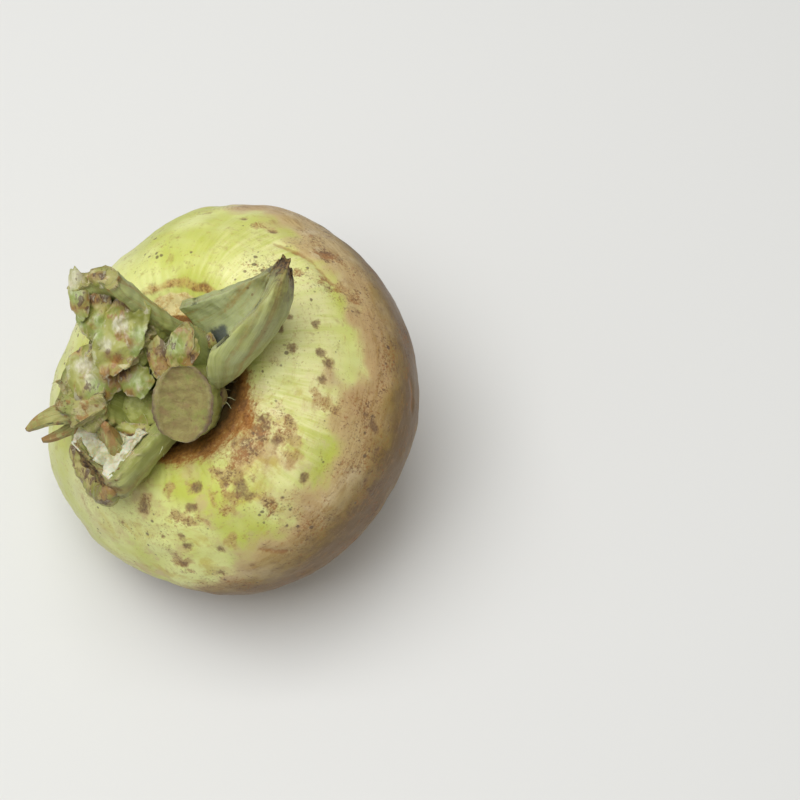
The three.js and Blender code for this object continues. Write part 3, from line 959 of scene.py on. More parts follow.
# %% Ribbed stalk skin: satin and cool green, so the stalks stand out from the yellow root
stalk_material, tree, shader = new_material("ribbed_stalk_skin")
spot = add_node(tree, "ShaderNodeTexCoord").outputs["Object"]
grown_at = add_node(tree, "ShaderNodeAttribute", attribute_name="grown").outputs["Vector"]
lengthways = add_node(
    tree, "ShaderNodeMapping", {"Vector": grown_at}, {"Scale": (1.6, 1.6, 0.12)}
).outputs["Vector"]

# Real veins are about 0.3 mm apart, too fine for the picture, so they are drawn 0.9 mm wide
veins = noise_value(tree, lengthways, 0.9, 4, 0.6)
wide_veins = noise_value(tree, lengthways, 3.0, 3, 0.5)
patches = noise_value(tree, spot, 7, 5, 0.6)
mottle = noise_value(tree, spot, 2.6, 5, 0.65, 0.5)
grain = noise_value(tree, spot, 0.8, 4, 0.65)

colour = layer(tree, "949943", "b4b869", ramp(tree, wide_veins, 0.35, 0.65))
grey_share = scaled(tree, number_at(tree, "grey"), ramp(tree, patches, 0.3, 0.7, 0.3, 0.9))
colour = layer(tree, colour, "b3bb8a", grey_share)
colour = layer(tree, colour, "c4c88f", ramp(tree, veins, 0.56, 0.72, 0, 0.5))
colour = layer(tree, colour, "8a9350", ramp(tree, veins, 0.45, 0.3, 0, 0.45))
# Darker green inside the channel: painted shade, as strong as each stalk's value shaded
shade = scaled(tree, number_at(tree, "channel"), ramp(tree, patches, 0.35, 0.65, 0.15, 0.6))
colour = layer(tree, colour, "84903e", shade)
stain = noise_value(tree, lengthways, 5.0, 5, 0.65)
stain_noise = total(tree, stain, scaled(tree, grain, number=0.3))
colour = layer(tree, colour, "a58a52", ramp(tree, stain_noise, 0.67, 0.84, 0, 0.75))

olive_share = scaled(tree, number_at(tree, "olive"), ramp(tree, stain, 0.36, 0.56, 0.2, 1.0))
olive_colour = layer(tree, "8a8446", "6f6634", ramp(tree, mottle, 0.42, 0.6))
colour = layer(tree, colour, olive_colour, olive_share)
print("nodes so far:", len(tree.nodes))

# %% Torn and dried parts: cream and pale green flesh with brown stains, almost black at a withered tip
dry = broken(tree, "dry", mottle, 0.3, 0.8, 0.6)
dry_colour = layer(tree, "a5a062", "c0b88a", ramp(tree, mottle, 0.42, 0.6))
dry_colour = layer(tree, dry_colour, "8a914e", ramp(tree, patches, 0.5, 0.64, 0, 0.85))
brown_noise = total(tree, stain, scaled(tree, mottle, number=0.6))
dry_colour = layer(tree, dry_colour, "96703f", ramp(tree, brown_noise, 0.82, 0.95, 0, 0.85))
dark_noise = total(tree, grain, scaled(tree, patches, number=0.5))
dry_colour = layer(tree, dry_colour, "5b4229", ramp(tree, dark_noise, 0.86, 0.98, 0, 0.8))
colour = layer(tree, colour, dry_colour, dry)
print("nodes so far:", len(tree.nodes))

# %% The sliced face of the round stalk with its purplish rim, and painted shade in the hollow of the pointed one
face_colour = layer(tree, "857849", "928a52", ramp(tree, mottle, 0.42, 0.6))
face_colour = layer(tree, face_colour, "848c45", ramp(tree, patches, 0.52, 0.66, 0, 0.6))
face_colour = layer(tree, face_colour, "876c4b", ramp(tree, wide_veins, 0.5, 0.7, 0, 0.6))
colour = layer(tree, colour, face_colour, scaled(tree, number_at(tree, "plain"), number=0.95))
rim_share = scaled(tree, broken(tree, "rim", patches, 0.5, 1.1, 1.0), number=0.8)
colour = layer(tree, colour, "735c4d", rim_share)
# Dark blue-grey in the hollow of the pointed stalk: painted shade
hollow_shade_share = scaled(tree, broken(tree, "hollow", mottle, 0.3, 0.7, 0.3), number=0.9)
colour = layer(tree, colour, "43494d", hollow_shade_share)
tip_colour = layer(tree, "7b6138", "3c2d1e", ramp(tree, grain, 0.42, 0.6))
colour = layer(tree, colour, tip_colour, broken(tree, "tip", mottle, 0.3, 0.8, 0.6))
speck_cells = add_node(tree, "ShaderNodeTexVoronoi", {"Vector": spot}, {"Scale": 1 / (2.0 * MM)})
speck_size = ramp(tree, patches, 0.44, 0.68, 0.0, 0.2)
speck_level = total(tree, speck_size, scaled(tree, speck_cells.outputs["Distance"], number=-1.0))
specks = ramp(tree, speck_level, -0.03, 0.06)
colour = layer(tree, colour, "6b4f30", scaled(tree, specks, number=0.6))
tree.links.new(colour, shader.inputs["Base Color"])
print("nodes so far:", len(tree.nodes))

# %% Shine of the stalks, dull where they dried, and relief of the veins
rough = total(tree, ramp(tree, veins, 0.3, 0.7, 0.4, 0.5), scaled(tree, dry, number=0.35))
tree.links.new(rough, shader.inputs["Roughness"])
shader.inputs["IOR"].default_value = 1.42
shader.inputs["Subsurface Weight"].default_value = 0.15
shader.inputs["Subsurface Radius"].default_value = (0.8, 1.0, 0.3)
shader.inputs["Subsurface Scale"].default_value = 1.2 * MM

height = total(tree, scaled(tree, veins, number=0.6), scaled(tree, dry, total(tree, grain, mottle)))
bump = add_node(tree, "ShaderNodeBump", {"Height": height}, {"Strength": 0.6, "Distance": 0.5 * MM})
tree.links.new(bump.outputs["Normal"], shader.inputs["Normal"])
print(stalk_material.name, "has", len(tree.nodes), "nodes")

# %% [markdown]
# ### Dried bract and strips
#
# The small leaf in the lowest stalk and the two strips at the side dried in place. Their skin shrank round
# the veins and became leather: olive, orange-brown towards the point, with a dull shine on its ridges.

# %% Dried bract: leathery, with veins that catch the light
bract_material, tree, shader = new_material("dried_leathery_bract")
spot = add_node(tree, "ShaderNodeTexCoord").outputs["Object"]
grown_at = add_node(tree, "ShaderNodeAttribute", attribute_name="grown").outputs["Vector"]
lengthways = add_node(
    tree, "ShaderNodeMapping", {"Vector": grown_at}, {"Scale": (1.6, 1.6, 0.2)}
).outputs["Vector"]
veins = noise_value(tree, lengthways, 0.9, 4, 0.6)
mottle = noise_value(tree, spot, 2.0, 4, 0.6)
colour = layer(tree, "8b8748", "a9a566", ramp(tree, veins, 0.4, 0.62))
dry_noise = total(tree, mottle, scaled(tree, number_at(tree, "dry"), number=0.3))
colour = layer(tree, colour, "94703f", ramp(tree, dry_noise, 0.55, 0.75, 0, 0.85))
colour = layer(tree, colour, "9c6f40", broken(tree, "tip", mottle, 0.5, 1.1, 0.4))
tree.links.new(colour, shader.inputs["Base Color"])
shader.inputs["Roughness"].default_value = 0.5
shader.inputs["Subsurface Weight"].default_value = 0.1
shader.inputs["Subsurface Scale"].default_value = 0.8 * MM
bump = add_node(tree, "ShaderNodeBump", {"Height": veins}, {"Strength": 0.5, "Distance": 0.3 * MM})
tree.links.new(bump.outputs["Normal"], shader.inputs["Normal"])
print(bract_material.name, "has", len(tree.nodes), "nodes")

# %% Dress the stalks
DRY_PIECES = ("scale_leaf", "sliver_long", "sliver_short")
for node, piece in stalk_pieces.items():
    piece.data.materials.append(bract_material if node in DRY_PIECES else stalk_material)
    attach(piece, "root")
    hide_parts(node)

# %% [markdown]
# ## Flakes, membranes and hairs
#
# Where stalks are torn off, thin flakes of dried flesh stand up along the tear, and no two are alike.
# Placing each by hand would take long and gain nothing. Geometry Nodes scatter one small curled flake over
# the surface: more where the number "dry" is high, turned at random, then bent once more by noise so that
# none repeats. Each tree ends in Realize Instances and Set Material, and its result is turned into a plain
# mesh.

# %% Dried torn flesh: matt, papery and pale where it is thin
flake_material, tree, shader = new_material("dried_torn_flesh")
spot = add_node(tree, "ShaderNodeTexCoord").outputs["Object"]
patches = noise_value(tree, spot, 4, 4, 0.6)
mottle = noise_value(tree, spot, 1.6, 4, 0.65)
colour = layer(tree, "a8a36c", "c3bb92", ramp(tree, patches, 0.4, 0.58))
colour = layer(tree, colour, "8c9455", ramp(tree, patches, 0.52, 0.64, 0, 0.85))
colour = layer(tree, colour, "8f693c", ramp(tree, mottle, 0.55, 0.66, 0, 0.8))
tree.links.new(colour, shader.inputs["Base Color"])
shader.inputs["Roughness"].default_value = 0.7
shader.inputs["Subsurface Weight"].default_value = 0.2
shader.inputs["Subsurface Scale"].default_value = 0.8 * MM
bump = add_node(tree, "ShaderNodeBump", {"Height": mottle}, {"Strength": 0.5, "Distance": 0.3 * MM})
tree.links.new(bump.outputs["Normal"], shader.inputs["Normal"])
print(flake_material.name, "has", len(tree.nodes), "nodes")


# %% Trees that grow small things on a mesh
def new_tree(name, sizes):
    """A geometry tree with a mesh input, named sizes and a seed, and its input and output nodes."""
    made = bpy.data.node_groups.new(name, "GeometryNodeTree")
    made.interface.new_socket("Skin", in_out="INPUT", socket_type="NodeSocketGeometry")
    for label in sizes:
        made.interface.new_socket(label, in_out="INPUT", socket_type="NodeSocketFloat")
    made.interface.new_socket("Seed", in_out="INPUT", socket_type="NodeSocketInt")
    made.interface.new_socket("Material", in_out="INPUT", socket_type="NodeSocketMaterial")
    made.interface.new_socket("Bits", in_out="OUTPUT", socket_type="NodeSocketGeometry")
    return made, made.nodes.new("NodeGroupInput").outputs, made.nodes.new("NodeGroupOutput")


def grow_on(host, name, tree, values):
    """Runs a tree on a mesh and keeps what it makes as a plain mesh that rides on the turnip."""
    piece = bpy.data.objects.new(name, host.data)
    scene.collection.objects.link(piece)
    modifier = piece.modifiers.new("grow", "NODES")
    modifier.node_group = tree
    for item in tree.interface.items_tree:
        if item.item_type == "SOCKET" and item.name in values:
            modifier[item.identifier] = values[item.name]
    grown_mesh = bpy.data.meshes.new_from_object(piece.evaluated_get(bpy.context.evaluated_depsgraph_get()))
    piece.modifiers.remove(modifier)
    piece.data = grown_mesh
    grown_mesh.name = name
    print(name, len(grown_mesh.polygons), "faces")
    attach(piece, "root")
    return piece


def scatter_points(tree, skin, label, density, seed):
    """Points on the skin, as dense as a number of the mesh says, and their rotations."""
    share = add_node(tree, "GeometryNodeInputNamedAttribute", inputs={"Name": label}, data_type="FLOAT")
    sharp = scaled(tree, share.outputs["Attribute"], share.outputs["Attribute"], share.outputs["Attribute"])
    found = add_node(
        tree, "GeometryNodeDistributePointsOnFaces",
        {"Mesh": skin, "Density": scaled(tree, sharp, density), "Seed": seed},
    )
    return found.outputs["Points"], found.outputs["Rotation"]


def shaken(tree, geometry, size_mm, amount_mm):
    """Moves each point by noise, and keeps it above the floor."""
    place = add_node(tree, "GeometryNodeInputPosition").outputs["Position"]
    wobble = add_node(
        tree, "ShaderNodeTexNoise", {"Vector": place}, {"Scale": 1 / (size_mm * MM), "Detail": 1.0}
    )
    middle_grey = (0.5, 0.5, 0.5)
    centred = add_node(
        tree, "ShaderNodeVectorMath", {0: wobble.outputs["Color"]}, {1: middle_grey}, operation="SUBTRACT"
    )
    push = add_node(tree, "ShaderNodeVectorMath", {0: centred.outputs["Vector"]}, operation="SCALE")
    push.inputs["Scale"].default_value = 2 * amount_mm * MM
    moved = add_node(tree, "ShaderNodeVectorMath", {0: place, 1: push.outputs["Vector"]}, operation="ADD")
    floor_level = (-FLOOR_HALF, -FLOOR_HALF, 0.4 * MM)
    over = add_node(
        tree, "ShaderNodeVectorMath", {0: moved.outputs["Vector"]}, {1: floor_level}, operation="MAXIMUM"
    )
    placed = {"Geometry": geometry, "Position": over.outputs["Vector"]}
    return add_node(tree, "GeometryNodeSetPosition", placed).outputs["Geometry"]


def random_between(tree, low, high, seed):
    """A random number for each point between low and high, or a random vector if they are tuples."""
    vectors = isinstance(low, tuple)
    # the node has one pair of inputs for vectors, 0 and 1, and one for numbers, 2 and 3
    ends = {0: low, 1: high} if vectors else {2: low, 3: high}
    kind = "FLOAT_VECTOR" if vectors else "FLOAT"
    made = add_node(tree, "FunctionNodeRandomValue", {"Seed": seed}, ends, data_type=kind)
    return made.outputs[0 if vectors else 1]


def spun(tree, rotation, spin):
    """The rotation, turned further by three angles about its own axes."""
    sockets = {"Rotation": rotation, "Rotate By": spin}
    return add_node(tree, "FunctionNodeRotateRotation", sockets, rotation_space="LOCAL").outputs[0]


def finish_tree(tree, output, instances, size_mm, amount_mm, material):
    """Makes the instances real, shakes them by amount_mm with noise of size_mm, and gives the material."""
    solid = add_node(tree, "GeometryNodeRealizeInstances", {"Geometry": instances}).outputs["Geometry"]
    solid = shaken(tree, solid, size_mm, amount_mm)
    solid = add_node(
        tree, "GeometryNodeSetMaterial", {"Geometry": solid, "Material": material}
    ).outputs["Geometry"]
    tree.links.new(solid, output.inputs["Bits"])


# %% Flakes: a small sheet, curled and narrowed, turned and stretched at random
flake_tree, given, output = new_tree("scatter_flakes", ["Per square metre", "Size"])
points, rotation = scatter_points(
    flake_tree, given["Skin"], "dry", given["Per square metre"], given["Seed"]
)
sheet = {"Size": (1, 0.8, 0.07), "Vertices X": 5, "Vertices Y": 4}
flake = add_node(flake_tree, "GeometryNodeMeshCube", inputs=sheet)
where = add_node(flake_tree, "GeometryNodeInputPosition").outputs["Position"]
parts = add_node(flake_tree, "ShaderNodeSeparateXYZ", {"Vector": where}).outputs
curl = scaled(flake_tree, parts["X"], parts["X"], number=0.9)
narrow = scaled(flake_tree, parts["Y"], parts["X"], number=-0.55)
shift = add_node(flake_tree, "ShaderNodeCombineXYZ", {"Y": narrow, "Z": curl}, {"X": 0.4}).outputs["Vector"]
curled = add_node(
    flake_tree, "GeometryNodeSetPosition", {"Geometry": flake.outputs["Mesh"], "Offset": shift}
).outputs[0]
spin = random_between(flake_tree, (0, -1.3, -math.pi), (0, -0.2, math.pi), given["Seed"])
rotation = spun(flake_tree, rotation, spin)
stretch = random_between(flake_tree, (0.4, 0.3, 0.8), (1.7, 1.5, 1.4), given["Seed"])
sized = add_node(
    flake_tree, "ShaderNodeVectorMath", {0: stretch, "Scale": given["Size"]}, operation="SCALE"
).outputs["Vector"]
placed = {"Points": points, "Instance": curled, "Rotation": rotation, "Scale": sized}
instances = add_node(flake_tree, "GeometryNodeInstanceOnPoints", placed).outputs["Instances"]
finish_tree(flake_tree, output, instances, 2.4, 1.3, given["Material"])

SQUARE_MM_PER_SQUARE_METRE = 1e6
# flakes per square mm, size in mm: few large ones and more small ones
FLAKES = [(0.008, 4.2), (0.015, 1.5)]
for node in ("stalk_torn", "stalk_heart"):
    for seed, (per_square_mm, size) in enumerate(FLAKES, start=3):
        values = {
            "Per square metre": per_square_mm * SQUARE_MM_PER_SQUARE_METRE, "Size": size * MM,
            "Seed": seed, "Material": flake_material,
        }
        grow_on(stalk_pieces[node], node + "_flakes_" + str(seed - 2), flake_tree, values)

# %% [markdown]
# ### Torn faces
#
# Where the inner stalks were pulled off, their soft flesh dried into lumpy faces that look up and to the
# side. Each is a flat pebble: a round grid pushed up by noise above and rounded off below, where it sits in
# its stalk. Its edge goes in and out, so that it does not read as a disc. They all turn roughly towards the
# light.

# %% Sizes and colours of the torn faces
facing = lean.T @ np.array(back)
face_right = lean.T @ np.array(right)
face_up = np.cross(facing, face_right)

# name: middle in the turnip's own frame, half width, half height, turn in degrees, depth below, lumps
TORN_FACES = {
    "torn_heart_face": ((2.4, 2.0, 53.6), 5.4, 10.4, -20, 6, 1.0),
    "torn_upper_left_face": ((-3.2, 8.9, 56.5), 4.4, 7.4, 4, 8, 0.9),
    "torn_green_flap": ((-2.1, -16.5, 39.0), 5.6, 1.9, -14, 3, 0.5),
    "torn_middle_face": ((-7.2, -3.9, 48.6), 7.0, 6.8, 20, 6, 1.0),
    "torn_green_face": ((1.6, -6.6, 46.6), 3.9, 4.0, 0, 8, 0.4),
    "torn_left_face": ((-11.4, -10.9, 47.0), 5.8, 3.8, 10, 5, 0.8),
    "torn_right_ridge": ((7.4, -2.5, 46.4), 2.4, 5.2, 14, 8, 0.8),
    "torn_short_face": ((13.2, -0.9, 45.4), 3.9, 5.0, -14, 6, 0.7),
    "torn_pointed_flap": ((15.0, 3.3, 36.0), 1.2, 2.0, 14, 2, 0.3),
    "torn_tall_rim": ((-4.6, 10.9, 60.2), 2.3, 6.2, 8, 4, 0.4),
    "torn_inner_face": ((-3.8, -10.2, 38.6), 6.2, 4.6, -8, 3, 0.12),
    "torn_tall_top": ((1.9, 13.2, 60.2), 3.4, 1.9, -6, 4, 0.3),
    "torn_collar_bit": ((14.6, -9.0, 31.6), 1.8, 2.6, 0, 4, 0.5),
}

# Colours on them that are copied one by one: mm to the right and up as the torn faces look, and a radius
TINTS = {
    "green": [
        (-15.1, 0.0, 5.0), (-25.7, 17.7, 2), (-25.7, 14.8, 1.8), (-16.3, 14.8, 2.6), (-16.9, 10.9, 2),
        (-17.4, 4.1, 3.4), (-26.6, 3.2, 2.4), (-27.8, 1, 2), (-30, 17.7, 2.4), (-30.5, 23.1, 2),
        (-8.4, 12.3, 2.6),
    ],
    "brown": [
        (-22.6, 23.1, 2.4), (-19.2, 21.5, 2.2), (-26.9, -0.4, 2.4), (-30.5, -1.3, 3),
        (-25.7, -2.6, 2.4), (-26.4, 28.8, 4), (-5.2, 10.9, 1.7), (-12.4, 10.9, 1.6), (-23.3, 10, 1.6),
        (0.2, 1, 4),
    ],
    "rust": [
        (-21.9, 8.7, 2.4), (-20.8, 5.9, 2.6), (-24.4, 5.9, 2.6), (-24.8, 1.2, 1.6), (-31.6, 11.4, 2),
        (-28.2, -3.3, 2), (-19.2, 1.4, 2), (-26.6, 22.7, 2),
    ],
    "cream": [
        (-24.2, 24.2, 1.8), (-20.3, 17, 2.2), (-30.9, 27.2, 3), (-30.5, 24.5, 2.4), (-29.6, 7.8, 3),
        (-23.7, 12.5, 2), (-28.2, 5, 2), (-9.7, 13.6, 1.4),
    ],
}
print(len(TORN_FACES), "torn faces,", sum(len(spots) for spots in TINTS.values()), "tinted places")

# %% Pebble-shaped torn faces
FACE_RINGS = 30
FACE_COLUMNS = 72


def tinted(points):
    """For each tint, 1 where points lie on one of its places, fading outwards."""
    place = np.stack([points @ face_right, points @ face_up], axis=-1)
    numbers = {}
    for label, spots in TINTS.items():
        share = np.zeros(len(points))
        for *middle, radius in spots:
            share = np.maximum(share, np.exp(-((np.linalg.norm(place - middle, axis=1) / radius) ** 2)))
        numbers[label] = share
    return numbers


def torn_face(name, middle, half_width, half_height, turn, depth, lumpy, seed):
    """A flat pebble that faces the light: its middle in mm, its size, and how lumpy its upper side is."""
    rings, columns = FACE_RINGS, FACE_COLUMNS
    angles = np.arange(columns) / columns * 2 * math.pi
    round_way = np.stack([np.cos(angles), np.sin(angles), 0 * angles], axis=-1)
    edge = 1 + 0.2 * lumps(round_way * 10, 9, 2, seed) + 0.1 * lumps(round_way * 10, 2.6, 3, seed + 3)
    cos_turn, sin_turn = math.cos(math.radians(turn)), math.sin(math.radians(turn))
    rho = np.concatenate([np.linspace(0.04, 1, rings), np.linspace(1, 0.04, rings)[1:]])[:, None]
    top = np.arange(2 * rings - 1)[:, None] < rings
    x, y = half_width * rho * edge * np.cos(angles), half_height * rho * edge * np.sin(angles)
    x, y = x * cos_turn - y * sin_turn, x * sin_turn + y * cos_turn
    flat = np.asarray(middle) + x[..., None] * face_right + y[..., None] * face_up
    flat_points = flat.reshape(-1, 3)
    rough = lumpy * (1.4 * lumps(flat_points, 5.2, 3, seed) + 0.16 * lumps(flat_points, 1.1, 3, seed))
    rough = rough.reshape(x.shape)
    above = 1 - rho**2 + rough * (1 - 0.5 * rho**6)
    below = -depth * np.sqrt(np.maximum(0, 1 - rho**2)) + (rough - 0.25) * rho**2
    grid = flat + np.where(top, above, below)[..., None] * facing
    ends = np.stack([grid[0].mean(axis=0), grid[-1].mean(axis=0)])
    faces = [tuple(reversed(face)) for face in closed_faces(2 * rings - 1, columns)]
    rim = np.clip((rho - 0.8) / 0.2, 0, 1) + 0 * x
    rim_values = [*rim.ravel(), 0.0, 0.0]
    points = np.concatenate([grid.reshape(-1, 3), ends])
    numbers = {"rim": rim_values, "hairy": rim_values, **tinted(points)}
    return make_piece(name, points, faces, numbers, {"grown": points * MM})


# %% Torn stalk flesh: soft, lumpy and stained, from fresh green to rusty brown, with pale dry edges
torn_material, tree, shader = new_material("torn_stalk_flesh")
spot = add_node(tree, "ShaderNodeTexCoord").outputs["Object"]
drawn = add_node(tree, "ShaderNodeMapping", {"Vector": spot}, {"Scale": (1, 0.55, 0.8)}).outputs["Vector"]
apart = add_node(
    tree, "ShaderNodeMapping", {"Vector": drawn}, {"Location": (0.3, 0.1, 0.7)}
).outputs["Vector"]
large = noise_value(tree, drawn, 6, 3, 0.55)
patches = noise_value(tree, drawn, 4.4, 4, 0.6, 0.4)
other = noise_value(tree, apart, 3.8, 4, 0.6, 0.3)
mottle = noise_value(tree, drawn, 1.6, 4, 0.6, 0.4)
grain = noise_value(tree, spot, 0.7, 3, 0.6)
colour = layer(tree, "7f8236", "a1a157", ramp(tree, large, 0.42, 0.58))
colour = layer(tree, colour, "b0a36c", ramp(tree, patches, 0.49, 0.6, 0, 0.8))
colour = layer(tree, colour, "9b9440", ramp(tree, other, 0.52, 0.63, 0, 0.75))
rusty = total(tree, other, scaled(tree, mottle, number=0.5))
colour = layer(tree, colour, "946b42", ramp(tree, rusty, 0.77, 0.88, 0, 0.75))
cream_tint = layer(tree, "b9b693", "d2d0b2", ramp(tree, mottle, 0.42, 0.62))
cream_share = scaled(tree, broken(tree, "cream", mottle, 0.25, 0.95, 0.7), number=0.85)
colour = layer(tree, colour, cream_tint, cream_share)
green_tint = layer(tree, "8a984e", "b1bd88", ramp(tree, mottle, 0.4, 0.65))
green_share = scaled(tree, broken(tree, "green", patches, 0.2, 0.9, 0.5), number=0.9)
colour = layer(tree, colour, green_tint, green_share)
rust_tint = layer(tree, "a1733a", "7e5228", ramp(tree, mottle, 0.42, 0.6))
rust_share = scaled(tree, broken(tree, "rust", mottle, 0.3, 1.0, 0.8), number=0.8)
colour = layer(tree, colour, rust_tint, rust_share)
brown_tint = layer(tree, "93784c", "6d5037", ramp(tree, mottle, 0.42, 0.6))
brown_share = scaled(tree, broken(tree, "brown", mottle, 0.3, 1.0, 0.8), number=0.85)
colour = layer(tree, colour, brown_tint, brown_share)
dark_noise = total(tree, patches, scaled(tree, mottle, number=0.6))
colour = layer(tree, colour, "563d2b", ramp(tree, dark_noise, 0.87, 0.95, 0, 0.8))
pale_edge = total(tree, mottle, scaled(tree, grain, number=0.3))
pale_edge = total(tree, pale_edge, scaled(tree, number_at(tree, "rim"), number=0.1))
colour = layer(tree, colour, "c2c1a0", ramp(tree, pale_edge, 0.74, 0.86, 0, 0.5))
tree.links.new(colour, shader.inputs["Base Color"])
tree.links.new(ramp(tree, patches, 0.4, 0.6, 0.42, 0.62), shader.inputs["Roughness"])
shader.inputs["Subsurface Weight"].default_value = 0.2
shader.inputs["Subsurface Radius"].default_value = (0.9, 1.0, 0.4)
shader.inputs["Subsurface Scale"].default_value = 1.0 * MM
height = total(tree, mottle, scaled(tree, grain, number=0.4))
bump = add_node(tree, "ShaderNodeBump", {"Height": height}, {"Strength": 0.45, "Distance": 0.4 * MM})
tree.links.new(bump.outputs["Normal"], shader.inputs["Normal"])
print(torn_material.name, "has", len(tree.nodes), "nodes")

# %% Make the torn faces
face_pieces = {}
for seed, (name, sizes) in enumerate(TORN_FACES.items(), start=2):
    face_pieces[name] = torn_face(name, *sizes, 5.3 * seed)
    face_pieces[name].data.materials.append(stalk_material if name == "torn_inner_face" else torn_material)
    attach(face_pieces[name], "root")

# %% [markdown]
# ### The corky lip
#
# The end of the lowest stalk dried, curled in and turned to cork, a thick brown roll along its section. A
# curve with a round bevel would give an even roll. Here a tube is swept by hand along the same section as
# the stalk, so that it can be lumpy, thicker in places and closed at both ends.

# %% The corky lip of the hooded stalk
STEPS_ALONG = 200


def corky_lip(name, stalk, share, margins, thickness, seed):
    """A lumpy roll along a stalk's section, at a share of its length, between two margins."""
    rows, columns = 90, 28
    t = np.linspace(0, 1, STEPS_ALONG)
    middle, side, face, along = (
        values[round(share * (STEPS_ALONG - 1))] for values in centre_line(stalk, t)
    )
    margin = np.linspace(*margins, rows)
    turn = math.radians(bend(stalk["fold"], share))
    radius = bend(stalk["width"], share) / (2 * turn)
    out, across = radius - radius * np.cos(margin * turn), radius * np.sin(margin * turn)
    slant = math.tan(math.radians(stalk["cut"][0])) * out * share**4
    line = middle + side * across[:, None] + face * out[:, None] + along * slant[:, None]
    ahead_on_line = np.gradient(line, axis=0)
    ahead_on_line /= np.linalg.norm(ahead_on_line, axis=1)[:, None]
    first = along - ahead_on_line * (ahead_on_line @ along)[:, None]
    first /= np.linalg.norm(first, axis=1)[:, None]
    second = np.cross(ahead_on_line, first)
    angles = np.arange(columns) / columns * 2 * math.pi
    ends = np.sqrt(np.clip(1 - np.abs(np.linspace(-1, 1, rows)) ** 6, 0.0004, 1))
    size = thickness * ends * (0.8 + 0.2 * np.cos(3 * margin))
    round_way = first[:, None] * np.cos(angles)[:, None] + second[:, None] * np.sin(angles)[:, None]
    grid = line[:, None] + round_way * size[:, None, None]
    bumps = 0.5 * lumps(grid.reshape(-1, 3), 3.0, 4, seed) + 0.2 * lumps(grid.reshape(-1, 3), 1.1, 3, seed)
    grid = grid + round_way * (bumps.reshape(rows, columns) * ends[:, None])[..., None]
    ends_of_roll = np.stack([grid[0].mean(axis=0), grid[-1].mean(axis=0)])
    points = np.concatenate([grid.reshape(-1, 3), ends_of_roll])
    numbers = {"brown": np.full(len(points), 0.5), "rust": np.full(len(points), 0.35)}
    return make_piece(name, points, closed_faces(rows, columns), numbers)


lip = corky_lip("hooded_corky_lip", STALKS["stalk_hooded"], 0.93, (-0.98, 0.85), 3.5, 6.0)
lip.data.materials.append(torn_material)
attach(lip, "root")

# %% [markdown]
# ### The membrane in the hooded stalk
#
# Inside the lowest stalk a thin white skin has come loose and hangs between the two margins. It is a sheet
# between two lines that are already known, the margins of the stalk, so it is made from the same sections,
# and sags a little.


# %% The sheet of the membrane
def sheet_between_margins(name, stalk, start, end, sag, seed):
    """A wrinkled sheet, half a millimetre thick, between a stalk's margins from start to end."""
    rows, columns = 60, 40
    t = np.linspace(0, 1, STEPS_ALONG)
    middle, side, face, _ = centre_line(stalk, t)
    chosen = np.round(np.linspace(start, end, rows) * (STEPS_ALONG - 1)).astype(int)
    middle, side, face, t = middle[chosen], side[chosen], face[chosen], t[chosen]
    turn = np.radians(bend(stalk["fold"], t))[:, None]
    radius = bend(stalk["width"], t)[:, None] / (2 * turn)
    s = np.linspace(-1, 1, columns)[None]
    across = radius * np.sin(turn) * 0.94 * s
    out = radius - radius * np.cos(turn) * 0.9 - sag * (1 - s**2) * (0.6 + 0.4 * np.cos(5 * t[:, None]))
    points = middle[:, None] + side[:, None] * across[..., None] + face[:, None] * out[..., None]
    fold = lumps(points.reshape(-1, 3), 3.0, 4, seed).reshape(rows, columns)
    upper = points + face[:, None] * (1.3 * fold + 0.25)[..., None]
    lower = points + face[:, None] * (1.3 * fold - 0.25)[..., None]
    grid = np.concatenate([upper, lower[:, ::-1]], axis=1)
    faces = [tuple(reversed(f)) for f in tube_faces(rows, 2 * columns)]
    last = (rows - 1) * 2 * columns
    for i in range(columns - 1):
        j = 2 * columns - 1 - i
        faces.append((i, i + 1, j - 1, j))
        faces.append((last + j, last + j - 1, last + i + 1, last + i))
    return make_piece(name, grid.reshape(-1, 3), faces, {})


membrane = sheet_between_margins("hooded_membrane", STALKS["stalk_hooded"], 0.36, 0.8, 3.2, 4.0)

# %% Loose white membrane: thin and translucent, so it is the lightest thing in the crown
membrane_material, tree, shader = new_material("loose_white_membrane")
spot = add_node(tree, "ShaderNodeTexCoord").outputs["Object"]
patches = noise_value(tree, spot, 5, 4, 0.6)
mottle = noise_value(tree, spot, 1.5, 4, 0.65, 0.6)
colour = layer(tree, "b3b086", "d0cfb6", ramp(tree, patches, 0.42, 0.6))
colour = layer(tree, colour, "9a8a5c", ramp(tree, mottle, 0.54, 0.68, 0, 0.7))
tree.links.new(colour, shader.inputs["Base Color"])
shader.inputs["Roughness"].default_value = 0.45
shader.inputs["Subsurface Weight"].default_value = 0.3
shader.inputs["Subsurface Scale"].default_value = 1.0 * MM
bump = add_node(tree, "ShaderNodeBump", {"Height": mottle}, {"Strength": 0.6, "Distance": 0.4 * MM})
tree.links.new(bump.outputs["Normal"], shader.inputs["Normal"])
print(membrane_material.name, "has", len(tree.nodes), "nodes")
membrane.data.materials.append(membrane_material)
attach(membrane, "root")

# %% [markdown]
# ### Root hairs and fibres
#
# Fine roots stand on the tap root, and a few pale strings hang where a stalk was torn off. They are one
# tree with other values: a line that droops, swept by a small ring into a tube that thins towards its end,
# and scattered where the number "hairy" is high. Real root hairs are about 0.1 mm thick, which the picture
# would lose, so they are drawn as tubes 0.28 mm across at the foot.

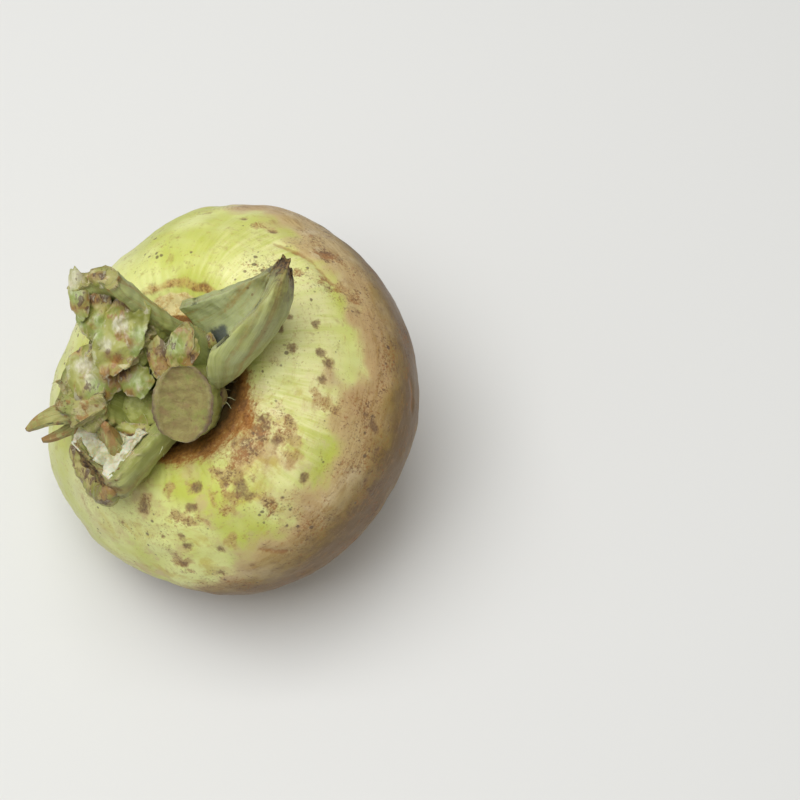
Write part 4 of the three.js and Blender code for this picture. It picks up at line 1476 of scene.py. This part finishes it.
# %% Dry root hair: straw-coloured and matt
hair_material, tree, shader = new_material("dry_root_hair")
spot = add_node(tree, "ShaderNodeTexCoord").outputs["Object"]
colour = layer(tree, "b39a68", "8a6b3e", ramp(tree, noise_value(tree, spot, 3), 0.4, 0.6))
tree.links.new(colour, shader.inputs["Base Color"])
shader.inputs["Roughness"].default_value = 0.75
print(hair_material.name, "has", len(tree.nodes), "nodes")

# %% A tree that scatters drooping hairs
hair_tree, given, output = new_tree("scatter_hairs", ["Per square metre", "Length", "Width"])
points, rotation = scatter_points(
    hair_tree, given["Skin"], "hairy", given["Per square metre"], given["Seed"]
)
line = add_node(hair_tree, "GeometryNodeCurvePrimitiveLine", inputs={"End": (0, 0, 1)}).outputs["Curve"]
line = add_node(hair_tree, "GeometryNodeResampleCurve", {"Curve": line}, {"Count": 9}).outputs["Curve"]
along_line = add_node(hair_tree, "GeometryNodeSplineParameter").outputs["Factor"]
droop = add_node(
    hair_tree, "ShaderNodeCombineXYZ", {"X": scaled(hair_tree, along_line, along_line, number=0.5)}
)
line = add_node(
    hair_tree, "GeometryNodeSetPosition", {"Geometry": line, "Offset": droop.outputs["Vector"]}
).outputs[0]
ring = add_node(hair_tree, "GeometryNodeCurvePrimitiveCircle", inputs={"Resolution": 5, "Radius": 1.0})
thin = ramp(hair_tree, along_line, 0, 1, 1.0, 0.25)
tube = add_node(
    hair_tree,
    "GeometryNodeCurveToMesh",
    {"Curve": line, "Profile Curve": ring.outputs["Curve"]},
    {"Fill Caps": True},
)
hair_tree.links.new(scaled(hair_tree, thin, given["Width"]), tube.inputs["Scale"])
spin = random_between(hair_tree, (-0.7, -0.7, -math.pi), (0.7, 0.7, math.pi), given["Seed"])
rotation = spun(hair_tree, rotation, spin)
length = scaled(hair_tree, random_between(hair_tree, 0.4, 1.5, given["Seed"]), given["Length"])
tall = add_node(
    hair_tree, "ShaderNodeCombineXYZ", {"X": given["Length"], "Y": given["Length"], "Z": length}
).outputs["Vector"]
placed = {"Points": points, "Instance": tube.outputs["Mesh"], "Rotation": rotation, "Scale": tall}
instances = add_node(hair_tree, "GeometryNodeInstanceOnPoints", placed).outputs["Instances"]
finish_tree(hair_tree, output, instances, 4.0, 1.6, given["Material"])

# %% Root hairs on the tap root; the width is a share of the length
values = {"Per square metre": 0.12e6, "Length": 7 * MM, "Width": 0.02, "Seed": 5, "Material": hair_material}
grow_on(root_skin, "root_hairs", hair_tree, values)

# %% Pale fibres that the torn stalks left: damp strings with a little shine
fibre_material, tree, shader = new_material("pale_stalk_fibre")
spot = add_node(tree, "ShaderNodeTexCoord").outputs["Object"]
colour = layer(tree, "dadfb0", "b7a877", ramp(tree, noise_value(tree, spot, 3), 0.45, 0.6))
tree.links.new(colour, shader.inputs["Base Color"])
shader.inputs["Roughness"].default_value = 0.5
print(fibre_material.name, "has", len(tree.nodes), "nodes")

# fibres per square mm, length in mm
FIBRES = {"torn_green_flap": (0.35, 4.0), "torn_collar_bit": (0.35, 2.6), "torn_right_ridge": (0.12, 2.4)}
for seed, (host, (per_square_mm, length)) in enumerate(FIBRES.items(), start=2):
    values = {
        "Per square metre": per_square_mm * SQUARE_MM_PER_SQUARE_METRE, "Length": length * MM,
        "Width": 0.03, "Seed": seed, "Material": fibre_material,
    }
    grow_on(face_pieces[host], host + "_fibres", hair_tree, values)
